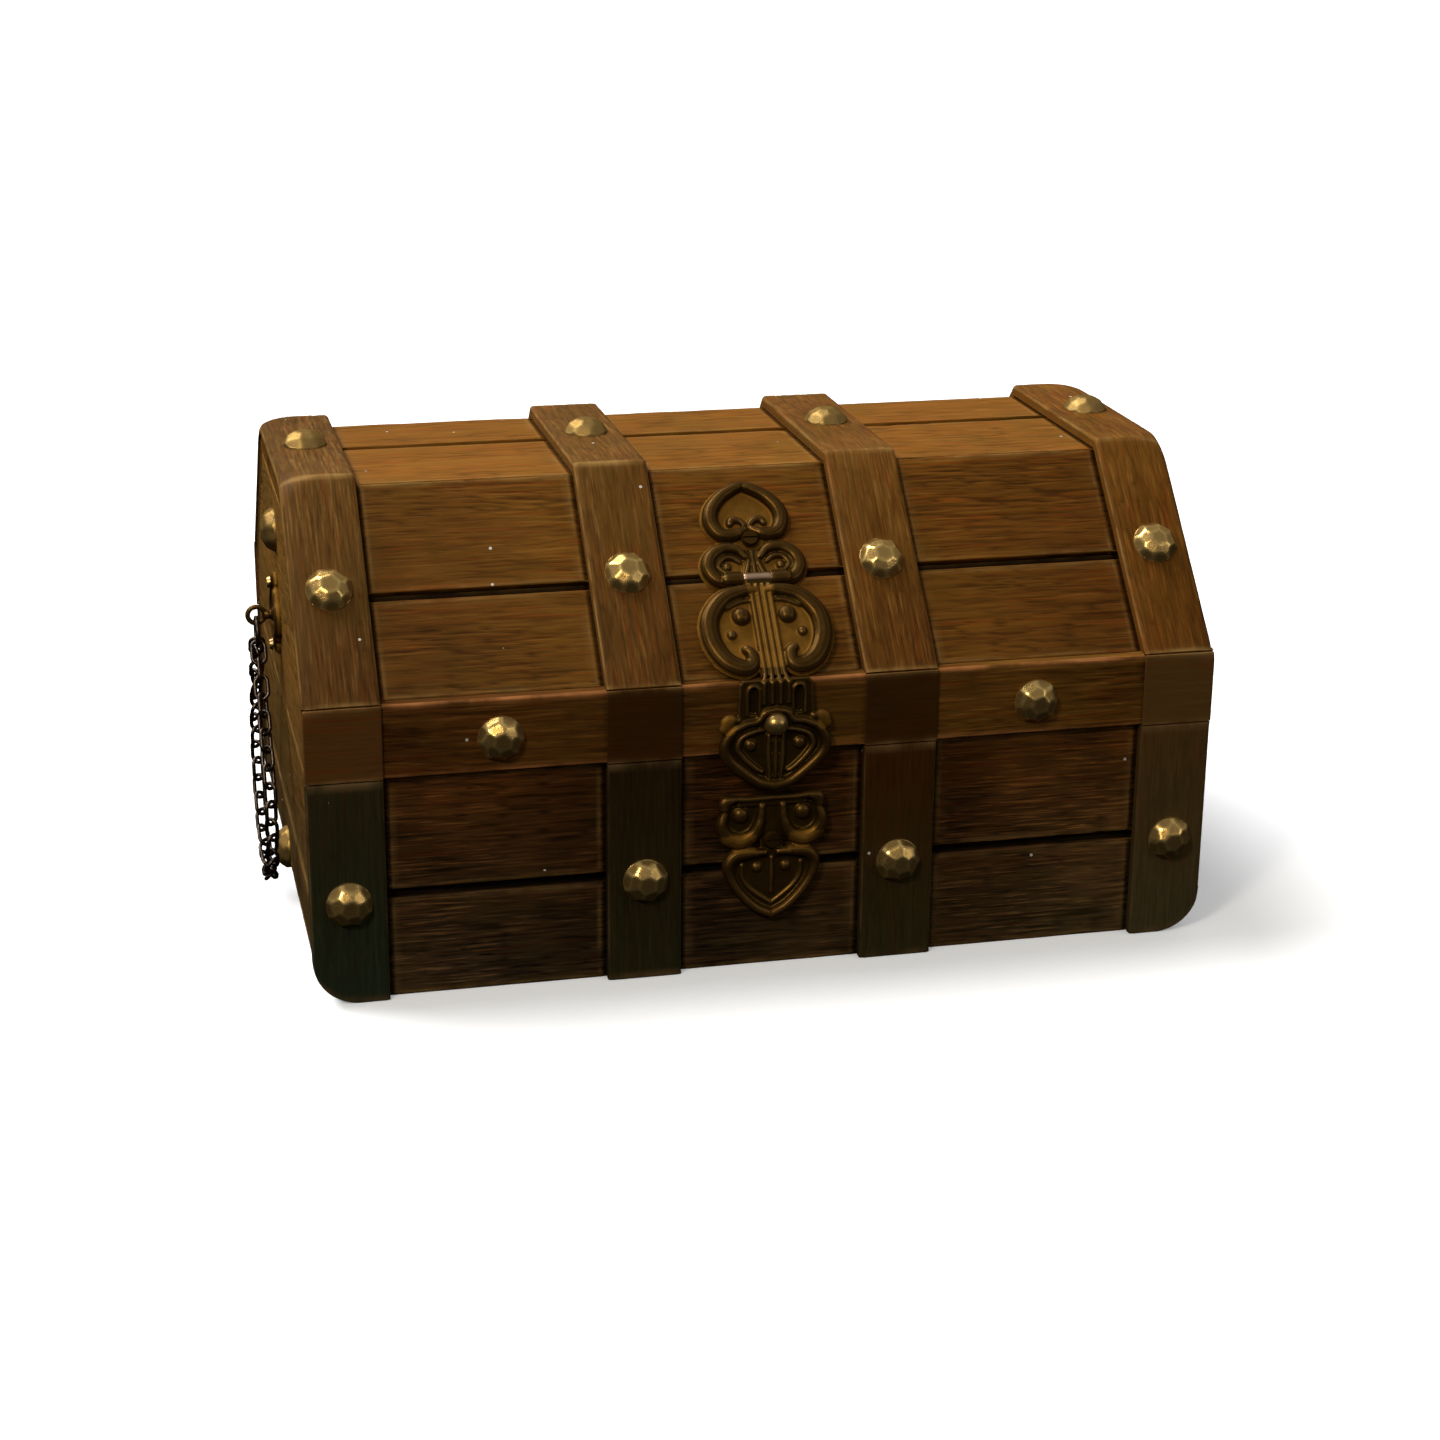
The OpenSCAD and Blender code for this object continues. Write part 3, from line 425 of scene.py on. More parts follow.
def make_materials():
    along_x, along_y = (13, 0.5, 0.5), (0.5, 13, 0.5)
    made = {
        # The top planks are a lighter copy of the planks' colour, painted light for the light the top catches.
        "top": wood("top_plank_wood", along_x, (0.138, 0.053, 0.0055), (0.185, 0.072, 0.0085),
                    (0.225, 0.092, 0.0125)),
        "plank": wood("plank_wood", along_x, (0.07, 0.027, 0.004), (0.145, 0.058, 0.0085), (0.20, 0.085, 0.014),
                      shade=((0.94, 0.94, 0.88), (0.86, 0.77, 0.55)),
                      foot_shade=(68, 100, (0.66, 0.64, 0.60), (0.86, 0.82, 0.76)), inner=(1.2, 1.25, 1.2)),
        "rail": wood("rail_wood", along_x, (0.045, 0.014, 0.0025), (0.125, 0.043, 0.008), (0.23, 0.085, 0.016),
                     worn_and_highlight=(0.42, 0.16, 0.05), shade=((0.52, 0.52, 0.50), (0.94, 1.12, 0.88))),
        "base": wood("base_wood", along_x, (0.013, 0.006, 0.002), (0.085, 0.033, 0.009), (0.29, 0.10, 0.024),
                     shade=((0.8, 0.8, 0.8), (1.28, 1.3, 1.1)),
                     foot_shade=(4, 44, (0.62, 0.94, 1.5), (0.72, 0.70, 0.60)), inner=(0.62, 0.58, 0.55)),
        "end": wood("end_wood", along_y, (0.05, 0.023, 0.006), (0.11, 0.052, 0.013), (0.17, 0.08, 0.02),
                    foot_shade=(0, 75, (0.30, 0.42, 0.62), (1.4, 1.45, 1.1))),
        "strap": wood("strap_wood", None, (0.064, 0.028, 0.005), (0.116, 0.051, 0.0095), (0.185, 0.092, 0.024),
                      worn_and_highlight=(0.30, 0.17, 0.05), wear=0.7, shade=((0.95, 0.97, 1), (1.14, 0.97, 0.55)),
                      foot_shade=(66, 100, (0.66, 0.60, 0.52), (1, 1, 1))),
        "plate": wood("plate_wood", along_x, (0.078, 0.032, 0.0075), (0.088, 0.036, 0.0085), (0.095, 0.04, 0.0095),
                      worn_and_highlight=(0.26, 0.14, 0.045), gloss=0.42, shade=((1, 1, 1), (1.1, 1.3, 1.4)),
                      inner=(0.42, 0.36, 0.26)),
        # The top and end studs are painted darker as shade.
        "brass": metal("stud_brass", (0.37, 0.225, 0.068), (0.18, 0.12, 0.045), (0.84, 0.60, 0.22), 0.2,
                       tint=(0.85, 0.62, 0.27), metallic=0.8, dull_shade=(0.22, 0.135, 0.042)),
        "hinge": metal("hinge_brass", (0.40, 0.27, 0.11), (0.16, 0.10, 0.04), (0.8, 0.62, 0.34), 0.34),
        "bronze": metal("hasp_bronze", (0.058, 0.027, 0.0045), (0.058, 0.033, 0.0065), (0.18, 0.095, 0.028), 0.36,
                        0.3, fade=(0.88, 0.64), tint=(0.5, 0.3, 0.09), metallic=0.64, specular=0.2),
        "steel": metal("pin_steel", (0.42, 0.27, 0.19), (0.22, 0.13, 0.09), (0.80, 0.60, 0.48), 0.2),
        "chain": metal("chain_steel", (0.06, 0.045, 0.035), (0.03, 0.02, 0.014), (0.28, 0.22, 0.17), 0.32),
        "gilt": metal("treasure_gilt", (0.70, 0.45, 0.13), (0.30, 0.16, 0.05), (0.95, 0.74, 0.34), 0.24),
        "fitting": plastic("air_fitting", (0.52, 0.54, 0.55), (0.44, 0.46, 0.47), 0.35),
        "tube": plastic("air_tube", (0.50, 0.60, 0.60), (0.40, 0.50, 0.50), 0.2, Transmission_Weight=0.6),
        "bell": plastic("air_bell", (0.075, 0.045, 0.022), (0.055, 0.032, 0.016), 0.4),
        "pearl": plastic("pearl", (0.75, 0.70, 0.62), (0.66, 0.58, 0.52), 0.18, Coat_Weight=0.6),
        "gem_red": plastic("gem_red", (0.42, 0.012, 0.02), (0.28, 0.008, 0.014), 0.08, Coat_Weight=0.5),
        "gem_green": plastic("gem_green", (0.012, 0.22, 0.07), (0.01, 0.14, 0.05), 0.08, Coat_Weight=0.5),
        "gem_blue": plastic("gem_blue", (0.015, 0.07, 0.33), (0.01, 0.045, 0.22), 0.08, Coat_Weight=0.5),
        "air_stone": stone("bubble_stone", (0.20, 0.27, 0.36), (0.07, 0.10, 0.14), 1.4),
        "slate": stone("ballast_slate", (0.11, 0.12, 0.125), (0.05, 0.055, 0.06), 0.5),
    }
    # Four copies of one strap colour, each with its own painted shade.
    for number, (foot_shade, head_shade) in enumerate(UPRIGHT_SHADES, 1):
        made[f"upright_{number}"] = wood(
            f"upright_{number}_wood", None, (0.028, 0.0155, 0.0042), (0.037, 0.021, 0.0055), (0.045, 0.026, 0.007),
            worn_and_highlight=(0.16, 0.09, 0.035), foot_shade=(4, 44, foot_shade, head_shade))
    return made


# --- Meshes ---

SHARP_ANGLE = math.radians(42)


def new_piece(name, part, material, body, replaced=(), smooth=True):
    """A closed mesh, given as its vertices in millimetres, faces and attributes, as a piece that rides on a body."""
    vertices, faces, attributes = part
    mesh = bpy.data.meshes.new(name)
    mesh.from_pydata((np.asarray(vertices) * MM).tolist(), [], faces)
    fix_normals(mesh)
    if smooth:
        mesh.shade_smooth()
        mesh.set_sharp_from_angle(angle=SHARP_ANGLE)
    for key, values in attributes.items():
        add_attribute(mesh, key, values)
    mesh.materials.append(material)
    piece = add_object(name, mesh)
    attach(piece, body)
    if replaced:
        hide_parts(*replaced)
    return piece


def fix_normals(mesh):
    """Turn every face outwards."""
    work = bmesh.new()
    work.from_mesh(mesh)
    bmesh.ops.recalc_face_normals(work, faces=work.faces)
    work.to_mesh(mesh)
    work.free()


def add_attribute(mesh, name, values):
    values = np.asarray(values, np.float32)
    kind, field = ("FLOAT_VECTOR", "vector") if values.ndim == 2 else ("FLOAT", "value")
    layer = mesh.attributes.new(name, kind, "POINT")
    layer.data.foreach_set(field, values.ravel())


def read(items, field, width=3, kind=float):
    """A field of every item, one row each."""
    values = np.zeros(len(items) * width, kind)
    items.foreach_get(field, values)
    return values.reshape(-1, width)


def mark_cavity(piece, rounds, depth):
    """Give a piece the attribute that its metal reads: how far each vertex stands out of its smoothed surroundings,
    from -1 in hollows of that depth to 1 on ridges."""
    mesh = piece.data
    points, edges = read(mesh.vertices, "co") / MM, read(mesh.edges, "vertices", 2, int)
    smooth = points.copy()
    count = np.bincount(edges.ravel(), minlength=len(points))[:, None]
    for _ in range(rounds):
        total = np.zeros_like(smooth)
        for a, b in ((0, 1), (1, 0)):
            for axis in range(3):
                total[:, axis] += np.bincount(edges[:, a], smooth[edges[:, b], axis], len(smooth))
        smooth = 0.5 * smooth + 0.5 * total / np.maximum(count, 1)
    out = ((points - smooth) * read(mesh.vertices, "normal")).sum(1)
    add_attribute(mesh, "cavity", np.clip(out / depth, -1, 1))


def circle(radius, height, around, shift=0):
    turns = [2 * math.pi * (k + shift) / around for k in range(around)]
    return [(radius * math.cos(a), radius * math.sin(a), height) for a in turns]


def ring_faces(rings, around, start=0, closed=False):
    """The faces between rings of vertices numbered from start. closed joins the last ring to the first."""
    return [tuple(start + row % rings * around + k % around
                  for row, k in ((r, k), (r, k + 1), (r + 1, k + 1), (r + 1, k)))
            for r in range(rings if closed else rings - 1) for k in range(around)]


def joined(parts):
    """Several (vertices, faces), or with attributes as a third, as one."""
    vertices, faces, attributes, start = [], [], {}, 0
    for points, polygons, *marks in parts:
        vertices.append(points)
        faces += [tuple(start + k for k in polygon) for polygon in polygons]
        for key, values in (marks[0] if marks else {}).items():
            attributes.setdefault(key, []).append(values)
        start += len(points)
    return np.concatenate(vertices), faces, {key: np.concatenate(v) for key, v in attributes.items()}


# --- Wood: an outline swept along an axis, rounded, carved and worn ---

# The step between stations where they are dense, near a board's ends.
DENSE_STEP = 0.45
# The step between the points of a rounded corner, and the turn under which a corner counts as straight.
ARC_STEP = 0.45
STRAIGHT = 0.05
# How much a normal has to lean outwards to count as facing out.
LEAN_OUT = 0.2
# How deep carving is on the sides that don't face out.
HIDDEN_CARVING = 0.2
# How far edge rubbing and painted edge highlights reach from an edge, how wide and deep a board is cut beside a strap,
# and where its line of rubbing and painted highlight is.
WEAR_W = 0.4
BAY_W = 0.6
BAY_D = 0.35
BAY_LINE = 1.5


def lattice_noise(u, v, seed):
    """Smooth noise from -1 to 1 over a plane of unit cells."""
    size = 256
    table = np.random.default_rng(seed).uniform(-1, 1, (size, size))
    iu, iv = np.floor(u).astype(int), np.floor(v).astype(int)
    fu, fv = u - iu, v - iv
    su, sv = fu * fu * (3 - 2 * fu), fv * fv * (3 - 2 * fv)
    iu, iv = iu % size, iv % size
    ju, jv = (iu + 1) % size, (iv + 1) % size
    low = table[iu, iv] * (1 - su) + table[ju, iv] * su
    high = table[iu, jv] * (1 - su) + table[ju, jv] * su
    return low * (1 - sv) + high * sv


def carving(along, across, seed, length, width):
    """Grain lines from 0 to 1, cut where a stretched noise crosses zero, and a finer unevenness."""
    sway = across + 0.9 * lattice_noise(along / 21, across / 7, seed + 1)
    line = 1 - np.abs(lattice_noise(along / length, sway / width, seed)) / 0.3
    line = np.clip(line, 0, 1)
    patch = np.clip(0.75 + 0.9 * lattice_noise(along / 28, across / 7, seed + 2), 0, 1)
    fine = 0.5 + 0.5 * lattice_noise(along / (0.5 * length), sway / (0.55 * width), seed + 3)
    return line * patch, fine


def faces_out(normal, out):
    """Whether a normal, or each of several, leans to a board's outer side."""
    return normal @ np.array(out) > LEAN_OUT


def rounded(outline, radius, fine_step, coarse_step, out):
    """A closed outline with rounded corners and divided edges: its points, outward normals, and edge rubbing from 0 to
    1, which also paints highlights along the edges.
    Edges that face the direction out are divided finely."""
    outline = np.array(outline, float)
    radii = np.broadcast_to(radius, len(outline))
    area = np.sum(outline[:, 0] * np.roll(outline[:, 1], -1) - np.roll(outline[:, 0], -1) * outline[:, 1])
    if area < 0:
        outline, radii = outline[::-1], radii[::-1]
    ahead = np.roll(outline, -1, 0) - outline
    lengths = np.linalg.norm(ahead, axis=1)
    ahead = ahead / lengths[:, None]
    corners = []
    for i, point in enumerate(outline):
        before, after = ahead[i - 1], ahead[i]
        turn = math.atan2(before[0] * after[1] - before[1] * after[0], float(before @ after))
        if turn <= STRAIGHT:
            normal = np.array([before[1] + after[1], -before[0] - after[0]])
            corners.append(([point], [normal / np.linalg.norm(normal)], turn > -STRAIGHT))
            continue
        cut = min(radii[i] * math.tan(turn / 2), 0.45 * min(lengths[i - 1], lengths[i]))
        r = cut / math.tan(turn / 2)
        centre = point - before * cut + np.array([-before[1], before[0]]) * r
        steps = max(2, math.ceil(turn / ARC_STEP))
        start = math.atan2(-before[0], before[1])
        angles = [start + turn * k / steps for k in range(steps + 1)]
        normals = [np.array([math.cos(a), math.sin(a)]) for a in angles]
        corners.append(([centre + r * n for n in normals], normals, True))
    points, normals, wear = [], [], []
    for i, (arc, arc_normals, convex) in enumerate(corners):
        points += arc
        normals += arc_normals
        wear += [1.0 if convex and len(arc) > 1 and faces_out(n, out) else 0.0 for n in arc_normals]
        arc_next, _, convex_next = corners[(i + 1) % len(corners)]
        start, end = arc[-1], arc_next[0]
        gap = end - start
        length = float(np.linalg.norm(gap))
        normal = np.array([ahead[i][1], -ahead[i][0]])
        step = fine_step if faces_out(normal, out) else coarse_step
        count = max(1, round(length / step))
        for k in range(1, count):
            t = k / count
            points.append(start + gap * t)
            normals.append(normal)
            beside = ((t * length, convex and len(arc) > 1), ((1 - t) * length, convex_next and len(arc_next) > 1))
            wear.append(max((math.exp(-away / WEAR_W) for away, rubbed_highlight in beside if rubbed_highlight), default=0.0))
    return np.array(points), np.array(normals), np.array(wear)


def stations(low, high, step, end_r, dense, extra=()):
    """Places along a sweep, with the inset of the outline there, closer together near the ends, and extra ones."""
    bevel = [(end_r * (1 - math.cos(a)), end_r * (1 - math.sin(a))) for a in (0, math.pi / 6, math.pi / 3)]
    places = np.arange(end_r, dense, DENSE_STEP)
    start = max(dense, end_r)
    count = max(1, round((high - low - 2 * start) / step))
    middle = np.linspace(low + start, high - start, count + 1)
    first = [(low + d, inset) for d, inset in bevel] + [(low + p, 0.0) for p in places]
    last = [(high - d, inset) for d, inset in bevel] + [(high - p, 0.0) for p in places]
    both = sorted(first + [(float(x), 0.0) for x in (*middle, *extra)] + last)
    return [both[0]] + [b for a, b in zip(both, both[1:]) if b[0] - a[0] > 1e-4]


def beside_straps(x):
    """How far x lies from the side of the nearest strap: positive in a bay, negative under a strap."""
    return np.min([np.abs(x - centre) for centre in STRAP_XS], 0) - STRAP_W / 2


def swept(outline, axis, low, high, out, seed, radius=0.35, end_r=0.3, step=2.2, fine=0.32, coarse=2.0, dense=0.0,
          depth=0.2, length=8.0, width=0.65, grain_around=False, grooved=False, bays=False, blunt=0):
    """The vertices, faces and attributes of a board: an outline over the two other axes, swept along axis.
    Its grain runs along the axis, or with grain_around along the outline. With grooved, what lies up to 3 mm behind
    its face is painted dark as shade, with some grime. With bays, it is carved down and painted dark as shade beside
    the straps, with a line of rubbing next to that which is also a painted highlight.
    blunt is the end, -1 or 1, whose edge is well rounded."""
    points, normals, wear = rounded(outline, radius, fine, coarse, out)
    sides = [(x, sign) for x in STRAP_XS for sign in (-1, 1) if abs(x + sign * STRAP_W / 2) < END_X - 3] if bays else ()
    rings = stations(low, high, step, end_r, dense, [x + sign * (STRAP_W / 2 + gap) for x, sign in sides
                                                     for gap in (-0.3, 0.1, 0.5, 0.9, 1.4, 2.0)])
    places, insets = np.array(rings).T
    if blunt:
        from_end = np.clip((high - places if blunt > 0 else places - low) / BLUNT_W, 0, 1)
        insets = insets + BLUNT_D * (1 - np.sqrt(1 - (1 - from_end)**2))
    around = np.concatenate([[0], np.cumsum(np.linalg.norm(np.diff(points, axis=0), axis=1))])
    along = np.repeat(places[:, None], len(points), 1)
    across = np.repeat(around[None, :], len(places), 0)
    if grain_around:
        along, across = across, along
    line, rough = carving(along, across, seed, length, width)
    shown = faces_out(normals, out)
    facing = np.where(shown, 1.0, HIDDEN_CARVING)[None, :]
    side_inset = np.where(shown, 1.0, 0.15)[None, :] if grain_around else 1.0
    gap, rubbed_highlight = np.zeros((2, len(places), 1))
    if bays:
        away = beside_straps(places)[:, None]
        gap = np.clip(1.6 - np.abs(away) / BAY_W, 0, 1)
        # A line of rubbing beside each bay, also painted as a highlight.
        rubbed_highlight = 0.5 * np.exp(-((away - BAY_LINE) / 0.5)**2)
    cut = depth * (0.75 * line + 0.25 * rough) * facing + insets[:, None] * side_inset + BAY_D * gap * shown
    flat = points[None] - normals[None] * cut[..., None]
    vertices = np.zeros((len(places), len(points), 3))
    vertices[..., axis] = places[:, None]
    vertices[..., [a for a in range(3) if a != axis]] = flat
    faces = ring_faces(len(places), len(points))
    for first in (0, (len(places) - 1) * len(points)):
        faces += [tuple(first + k for k in triangle) for triangle in filled(points)]
    sunk = (points @ np.array(out)).max() - points @ np.array(out)
    # Painted shade in the groove and in what lies up to 3 mm behind the face.
    groove = np.where(sunk < 3.0, np.clip((sunk - 0.35) / 0.5, 0, 1), 0) * grooved
    worn_and_highlight = np.repeat((wear * (1 - 0.8 * near(groove)))[None, :], len(places), 0) * (1 - gap)
    worn_and_highlight = np.maximum(worn_and_highlight, rubbed_highlight * shown * (1 - near(groove)))
    # Edge rubbing at the second ring from each end; on a strap it is strong, a painted highlight along its edge.
    worn_and_highlight[[1, -2]] = np.maximum(worn_and_highlight[[1, -2]], 0.9 if grain_around else 0.2)
    worn_and_highlight[[0, -1]] = 0.1
    line[[0, -1]] = 0.5
    return vertices.reshape(-1, 3), faces, {
        "carve": (line * facing * min(1.0, depth / 0.2)).ravel(),
        # Painted shade, with some grime, in the grooves and beside the straps.
        "soot": np.maximum(0.93 * groove[None, :], 0.75 * gap * shown).ravel(),
        "wear": worn_and_highlight.ravel(),
        "grain": np.stack([along.ravel(), across.ravel(), np.full(along.size, seed * 3.7)], 1),
    }


def near(mask):
    """A mask around a closed outline, widened by a few points."""
    return np.max([np.roll(mask, k) for k in range(-5, 6)], 0)


def filled(points):
    """Triangles that fill a closed outline, by the numbers of its points."""
    _, _, faces, origins, _, _ = delaunay_2d_cdt([Vector(p) for p in points], [], [range(len(points))], 1, 1e-6)
    return [tuple(origins[k][0] for k in face) for face in faces]


def foot(board, half_w):
    """Round the two bottom corners, seen from the front, by squeezing the lowest part of the board upwards."""
    vertices = board[0]
    reach = np.clip(np.abs(vertices[:, 0]) - (half_w - FOOT_R), 0, FOOT_R)
    lift = FOOT_R - np.sqrt(FOOT_R**2 - reach**2)
    zone = 2 * FOOT_R
    low = vertices[:, 2] < zone
    vertices[low, 2] = lift[low] + vertices[low, 2] * (zone - lift[low]) / zone
    return board


def gable(board):
    """Narrow a lid end, swept to the rails' inner sides, to fit under the sloping planks."""
    vertices = board[0]
    slope = HALF_D - (vertices[:, 2] - RAIL_TOP + INNER_D / COS_A) * COS_A / SIN_A
    vertices[:, 1] *= np.minimum(RAIL_IN, slope) / RAIL_IN
    return board


def round_outer_bends(board, x):
    """Wear down the bends of an end strap, placed at x, with a radius that grows towards the chest's end."""
    if abs(x) < max(STRAP_XS) - 1:
        return board
    vertices, side = board[0], math.copysign(1, x)
    reach = np.clip(1 - (HALF_L - side * vertices[:, 0]) / WORN_REACH, 0, 1)**1.5
    slope_normal = np.array([-SIN_A, COS_A])
    for corner, high_normal, low_normal, most in (
            ((-TOP_HALF, TOP_Z), np.array([0.0, 1.0]), slope_normal, WORN_RIDGE_R),
            ((-HALF_D, RAIL_TOP), slope_normal, np.array([-1.0, 0.0]), WORN_RAIL_R)):
        turn = math.acos(float(high_normal @ low_normal))
        towards_low = np.array([-high_normal[1], high_normal[0]])
        radius = most * reach
        middle = np.array(corner) - radius[:, None] * (high_normal + low_normal) / (1 + math.cos(turn))
        for half in (1, -1):
            away = np.stack([half * vertices[:, 1], vertices[:, 2]], 1) - middle
            lean = np.arctan2(away @ towards_low, away @ high_normal)
            inside = (lean > 0) & (lean < turn) & (half * vertices[:, 1] < 0) & (radius > 0.05)
            cut = radius * (1 / np.cos(np.where(inside, np.minimum(lean, turn - lean), 0)) - 1)
            moved = middle + away * (1 - cut / np.maximum(np.linalg.norm(away, axis=1), 0.01))[:, None]
            vertices[inside, 1] = half * moved[inside, 0]
            vertices[inside, 2] = moved[inside, 1]
    return board


def mirrored(outline):
    return [(-y, z) for y, z in outline]


def span(middle, width):
    return middle - width / 2, middle + width / 2


def block(outer, inner, low, high):
    """An upright rectangle."""
    return [(outer, low), (outer, high), (inner, high), (inner, low)]


def base_board_outline():
    front, back = -HALF_D + BASE_D, -HALF_D + BASE_D + BOARD_T
    low, high = span(GROOVE_Z, GROOVE_W)
    return [(front, 0), (front, low), (front + GROOVE_T, low), (front + GROOVE_T, high), (front, high),
            (front, BASE_H), (back, BASE_H), (back, 0)]


def lid_outlines():
    """The outlines of the boards in the front half of the lid, by name, and of a strap."""
    first = PLANK_D * COS_A / SIN_A
    tongue = PLANK_D + GROOVE_T
    low, high = span(GROOVE_S, GROOVE_W)
    top_low, top_high = span(GROOVE_Y, TOP_GROOVE_W)
    rail_front = -HALF_D + RAIL_D
    rail_under = RAIL_TOP + (HALF_D - RAIL_IN) * SIN_A / COS_A - INNER_D / COS_A
    plank_z, under_z = TOP_Z - PLANK_D, TOP_Z - INNER_D
    strap_out = [(-HALF_D, RAIL_TOP), ridge(0)]
    strap_in = [on_slope(first, PLANK_D), ridge(PLANK_D)]
    return {
        "rail": [(rail_front, LID_Z), (rail_front, RAIL_TOP - RAIL_CHAMFER), (rail_front + RAIL_CHAMFER, RAIL_TOP),
                 on_slope(first, PLANK_D), on_slope(first, INNER_D), (-RAIL_IN, rail_under), (-RAIL_IN, LID_Z)],
        "lower_plank": [on_slope(first, PLANK_D), on_slope(low, PLANK_D), on_slope(low, tongue),
                        on_slope(high, tongue), on_slope(high, INNER_D), on_slope(first, INNER_D)],
        "upper_plank": [on_slope(high, PLANK_D), ridge(PLANK_D), ridge(INNER_D), on_slope(high, INNER_D)],
        "top_front": [ridge(PLANK_D), (top_low, plank_z), (top_low, TOP_Z - tongue), (top_high, TOP_Z - tongue),
                      (top_high, under_z), ridge(INNER_D)],
        "top_back": [(top_high, plank_z), (-ridge(PLANK_D)[0], plank_z), (-ridge(INNER_D)[0], under_z),
                     (top_high, under_z)],
        "strap": strap_out + mirrored(strap_out)[::-1] + mirrored(strap_in) + strap_in[::-1],
    }


def make_base_wood(mats):
    outline = base_board_outline()
    for name, shape, out, seed in (("front", outline, (-1, 0), 11), ("back", mirrored(outline), (1, 0), 12)):
        board = foot(swept(shape, 0, -END_X, END_X, out, seed, dense=FOOT_R, depth=0.26, length=9, width=0.75,
                           grooved=True, bays=True), END_X)
        new_piece(f"{name}_board", board, mats["base"], "base", [f"base_{name}_board"])
    half_in = HALF_D - BASE_D - BOARD_T
    low, high = span(GROOVE_Z, GROOVE_W)
    start = math.asin(max(0.0, 1 - BOARD_T / FOOT_R))
    for side, name, seed in ((-1, "left", 13), (1, "right", 14)):
        outer, sunk, inner = side * END_X, side * (END_X - GROOVE_T), side * (END_X - BOARD_T)
        shape = [(side * (END_X - FOOT_R + FOOT_R * math.sin(a)), FOOT_R - FOOT_R * math.cos(a))
                 for a in np.linspace(start, math.pi / 2, 9)]
        shape += [(outer, low), (sunk, low), (sunk, high), (outer, high), (outer, BASE_H), (inner, BASE_H)]
        board = swept(shape, 1, -half_in, half_in, (side, 0), seed, depth=0.22, grooved=True)
        new_piece(f"{name}_end_board", board, mats["end"], "base", [f"base_{name}_end"])
    for number, x in enumerate(STRAP_XS, 1):
        parts = [foot(swept(block(sign * HALF_D, sign * (HALF_D - BASE_D), 0, BASE_H), 0, *span(x, STRAP_W),
                            (sign, 0), 20 + number, radius=0.5, end_r=0.9, step=0.34, fine=1.6, coarse=2.5,
                            depth=0.08, length=6, width=0.9, grain_around=True), HALF_L) for sign in (-1, 1)]
        new_piece(f"upright_{number}", joined(parts), mats[f"upright_{number}"], "base",
                  [f"base_strap_{number}"])


def make_lid_wood(mats):
    shapes = lid_outlines()
    for half, name, material, out, seed, radius in (
            ("front", "rail", "rail", (-1, 0), 31, 0.4), ("back", "rail", "rail", (1, 0), 32, 0.4),
            ("front", "lower_plank", "plank", (-SIN_A, COS_A), 33, 0.3),
            ("back", "lower_plank", "plank", (SIN_A, COS_A), 34, 0.3),
            ("front", "upper_plank", "plank", (-SIN_A, COS_A), 35, 0.2),
            ("back", "upper_plank", "plank", (SIN_A, COS_A), 36, 0.2),
            ("top_front", "plank", "top", (0, 1), 37, 0.2), ("top_back", "plank", "top", (0, 1), 38, 0.2)):
        shape = shapes[half if material == "top" else name]
        planked = material != "rail"
        board = swept(mirrored(shape) if half == "back" else shape, 0, -END_X, END_X, out, seed, radius=radius,
                      grooved=planked, bays=planked)
        new_piece(f"{half}_{name}", board, mats[material], "lid",
                  [f"lid_{half}_{name}"])
    for side, name, seed in ((-1, "left", 41), (1, "right", 42)):
        shape = block(side * END_X, side * (END_X - BOARD_T), LID_Z, LID_END_TOP)
        board = gable(swept(shape, 1, -RAIL_IN, RAIL_IN, (side, 0), seed, depth=0.22))
        new_piece(f"{name}_gable", board, mats["end"], "lid", [f"lid_{name}_end"])
    strap_radii = (0.3, 0.9, 0.9, 0.3, 0.3, 0.3, 0.3, 0.3)
    for number, x in enumerate(STRAP_XS, 1):
        board = swept(shapes["strap"], 0, *span(x, STRAP_W), (0, 1), 50 + number, radius=strap_radii, end_r=0.9,
                      step=0.34, fine=0.9, coarse=2.5, depth=0.12, length=6, width=0.7, grain_around=True,
                      blunt={1: -1, 4: 1}.get(number, 0))
        new_piece(f"lid_band_{number}", round_outer_bends(board, x), mats["strap"], "lid",
                  [f"lid_strap_{number}"])
    parts = [round_outer_bends(swept(block(sign * HALF_D, sign * (HALF_D - RAIL_D), LID_Z, RAIL_TOP), 0,
                                     *span(x, STRAP_W), (sign, 0), 60 + number, radius=0.2, step=0.8, fine=0.7,
                                     depth=0.04, length=9, width=1.2), x)
             for number, x in enumerate(STRAP_XS, 1) for sign in (-1, 1)]
    new_piece("rail_plates", joined(parts), mats["plate"], "lid", ["lid_rail_plates"])


# --- Faces of the chest: origin, across, up and out ---

FACES = {name: np.array(rows, float) for name, rows in {
    "front": ((0, -HALF_D, 0), (1, 0, 0), (0, 0, 1), (0, -1, 0)),
    "back": ((0, HALF_D, 0), (1, 0, 0), (0, 0, 1), (0, 1, 0)),
    "front_slope": ((0, -HALF_D, RAIL_TOP), (1, 0, 0), (0, COS_A, SIN_A), (0, -SIN_A, COS_A)),
    "back_slope": ((0, HALF_D, RAIL_TOP), (1, 0, 0), (0, -COS_A, SIN_A), (0, SIN_A, COS_A)),
    "top": ((0, 0, TOP_Z), (1, 0, 0), (0, 1, 0), (0, 0, 1)),
    "left": ((-END_X, 0, 0), (0, -1, 0), (0, 0, 1), (-1, 0, 0)),
    "right": ((END_X, 0, 0), (0, -1, 0), (0, 0, 1), (1, 0, 0)),
}.items()}


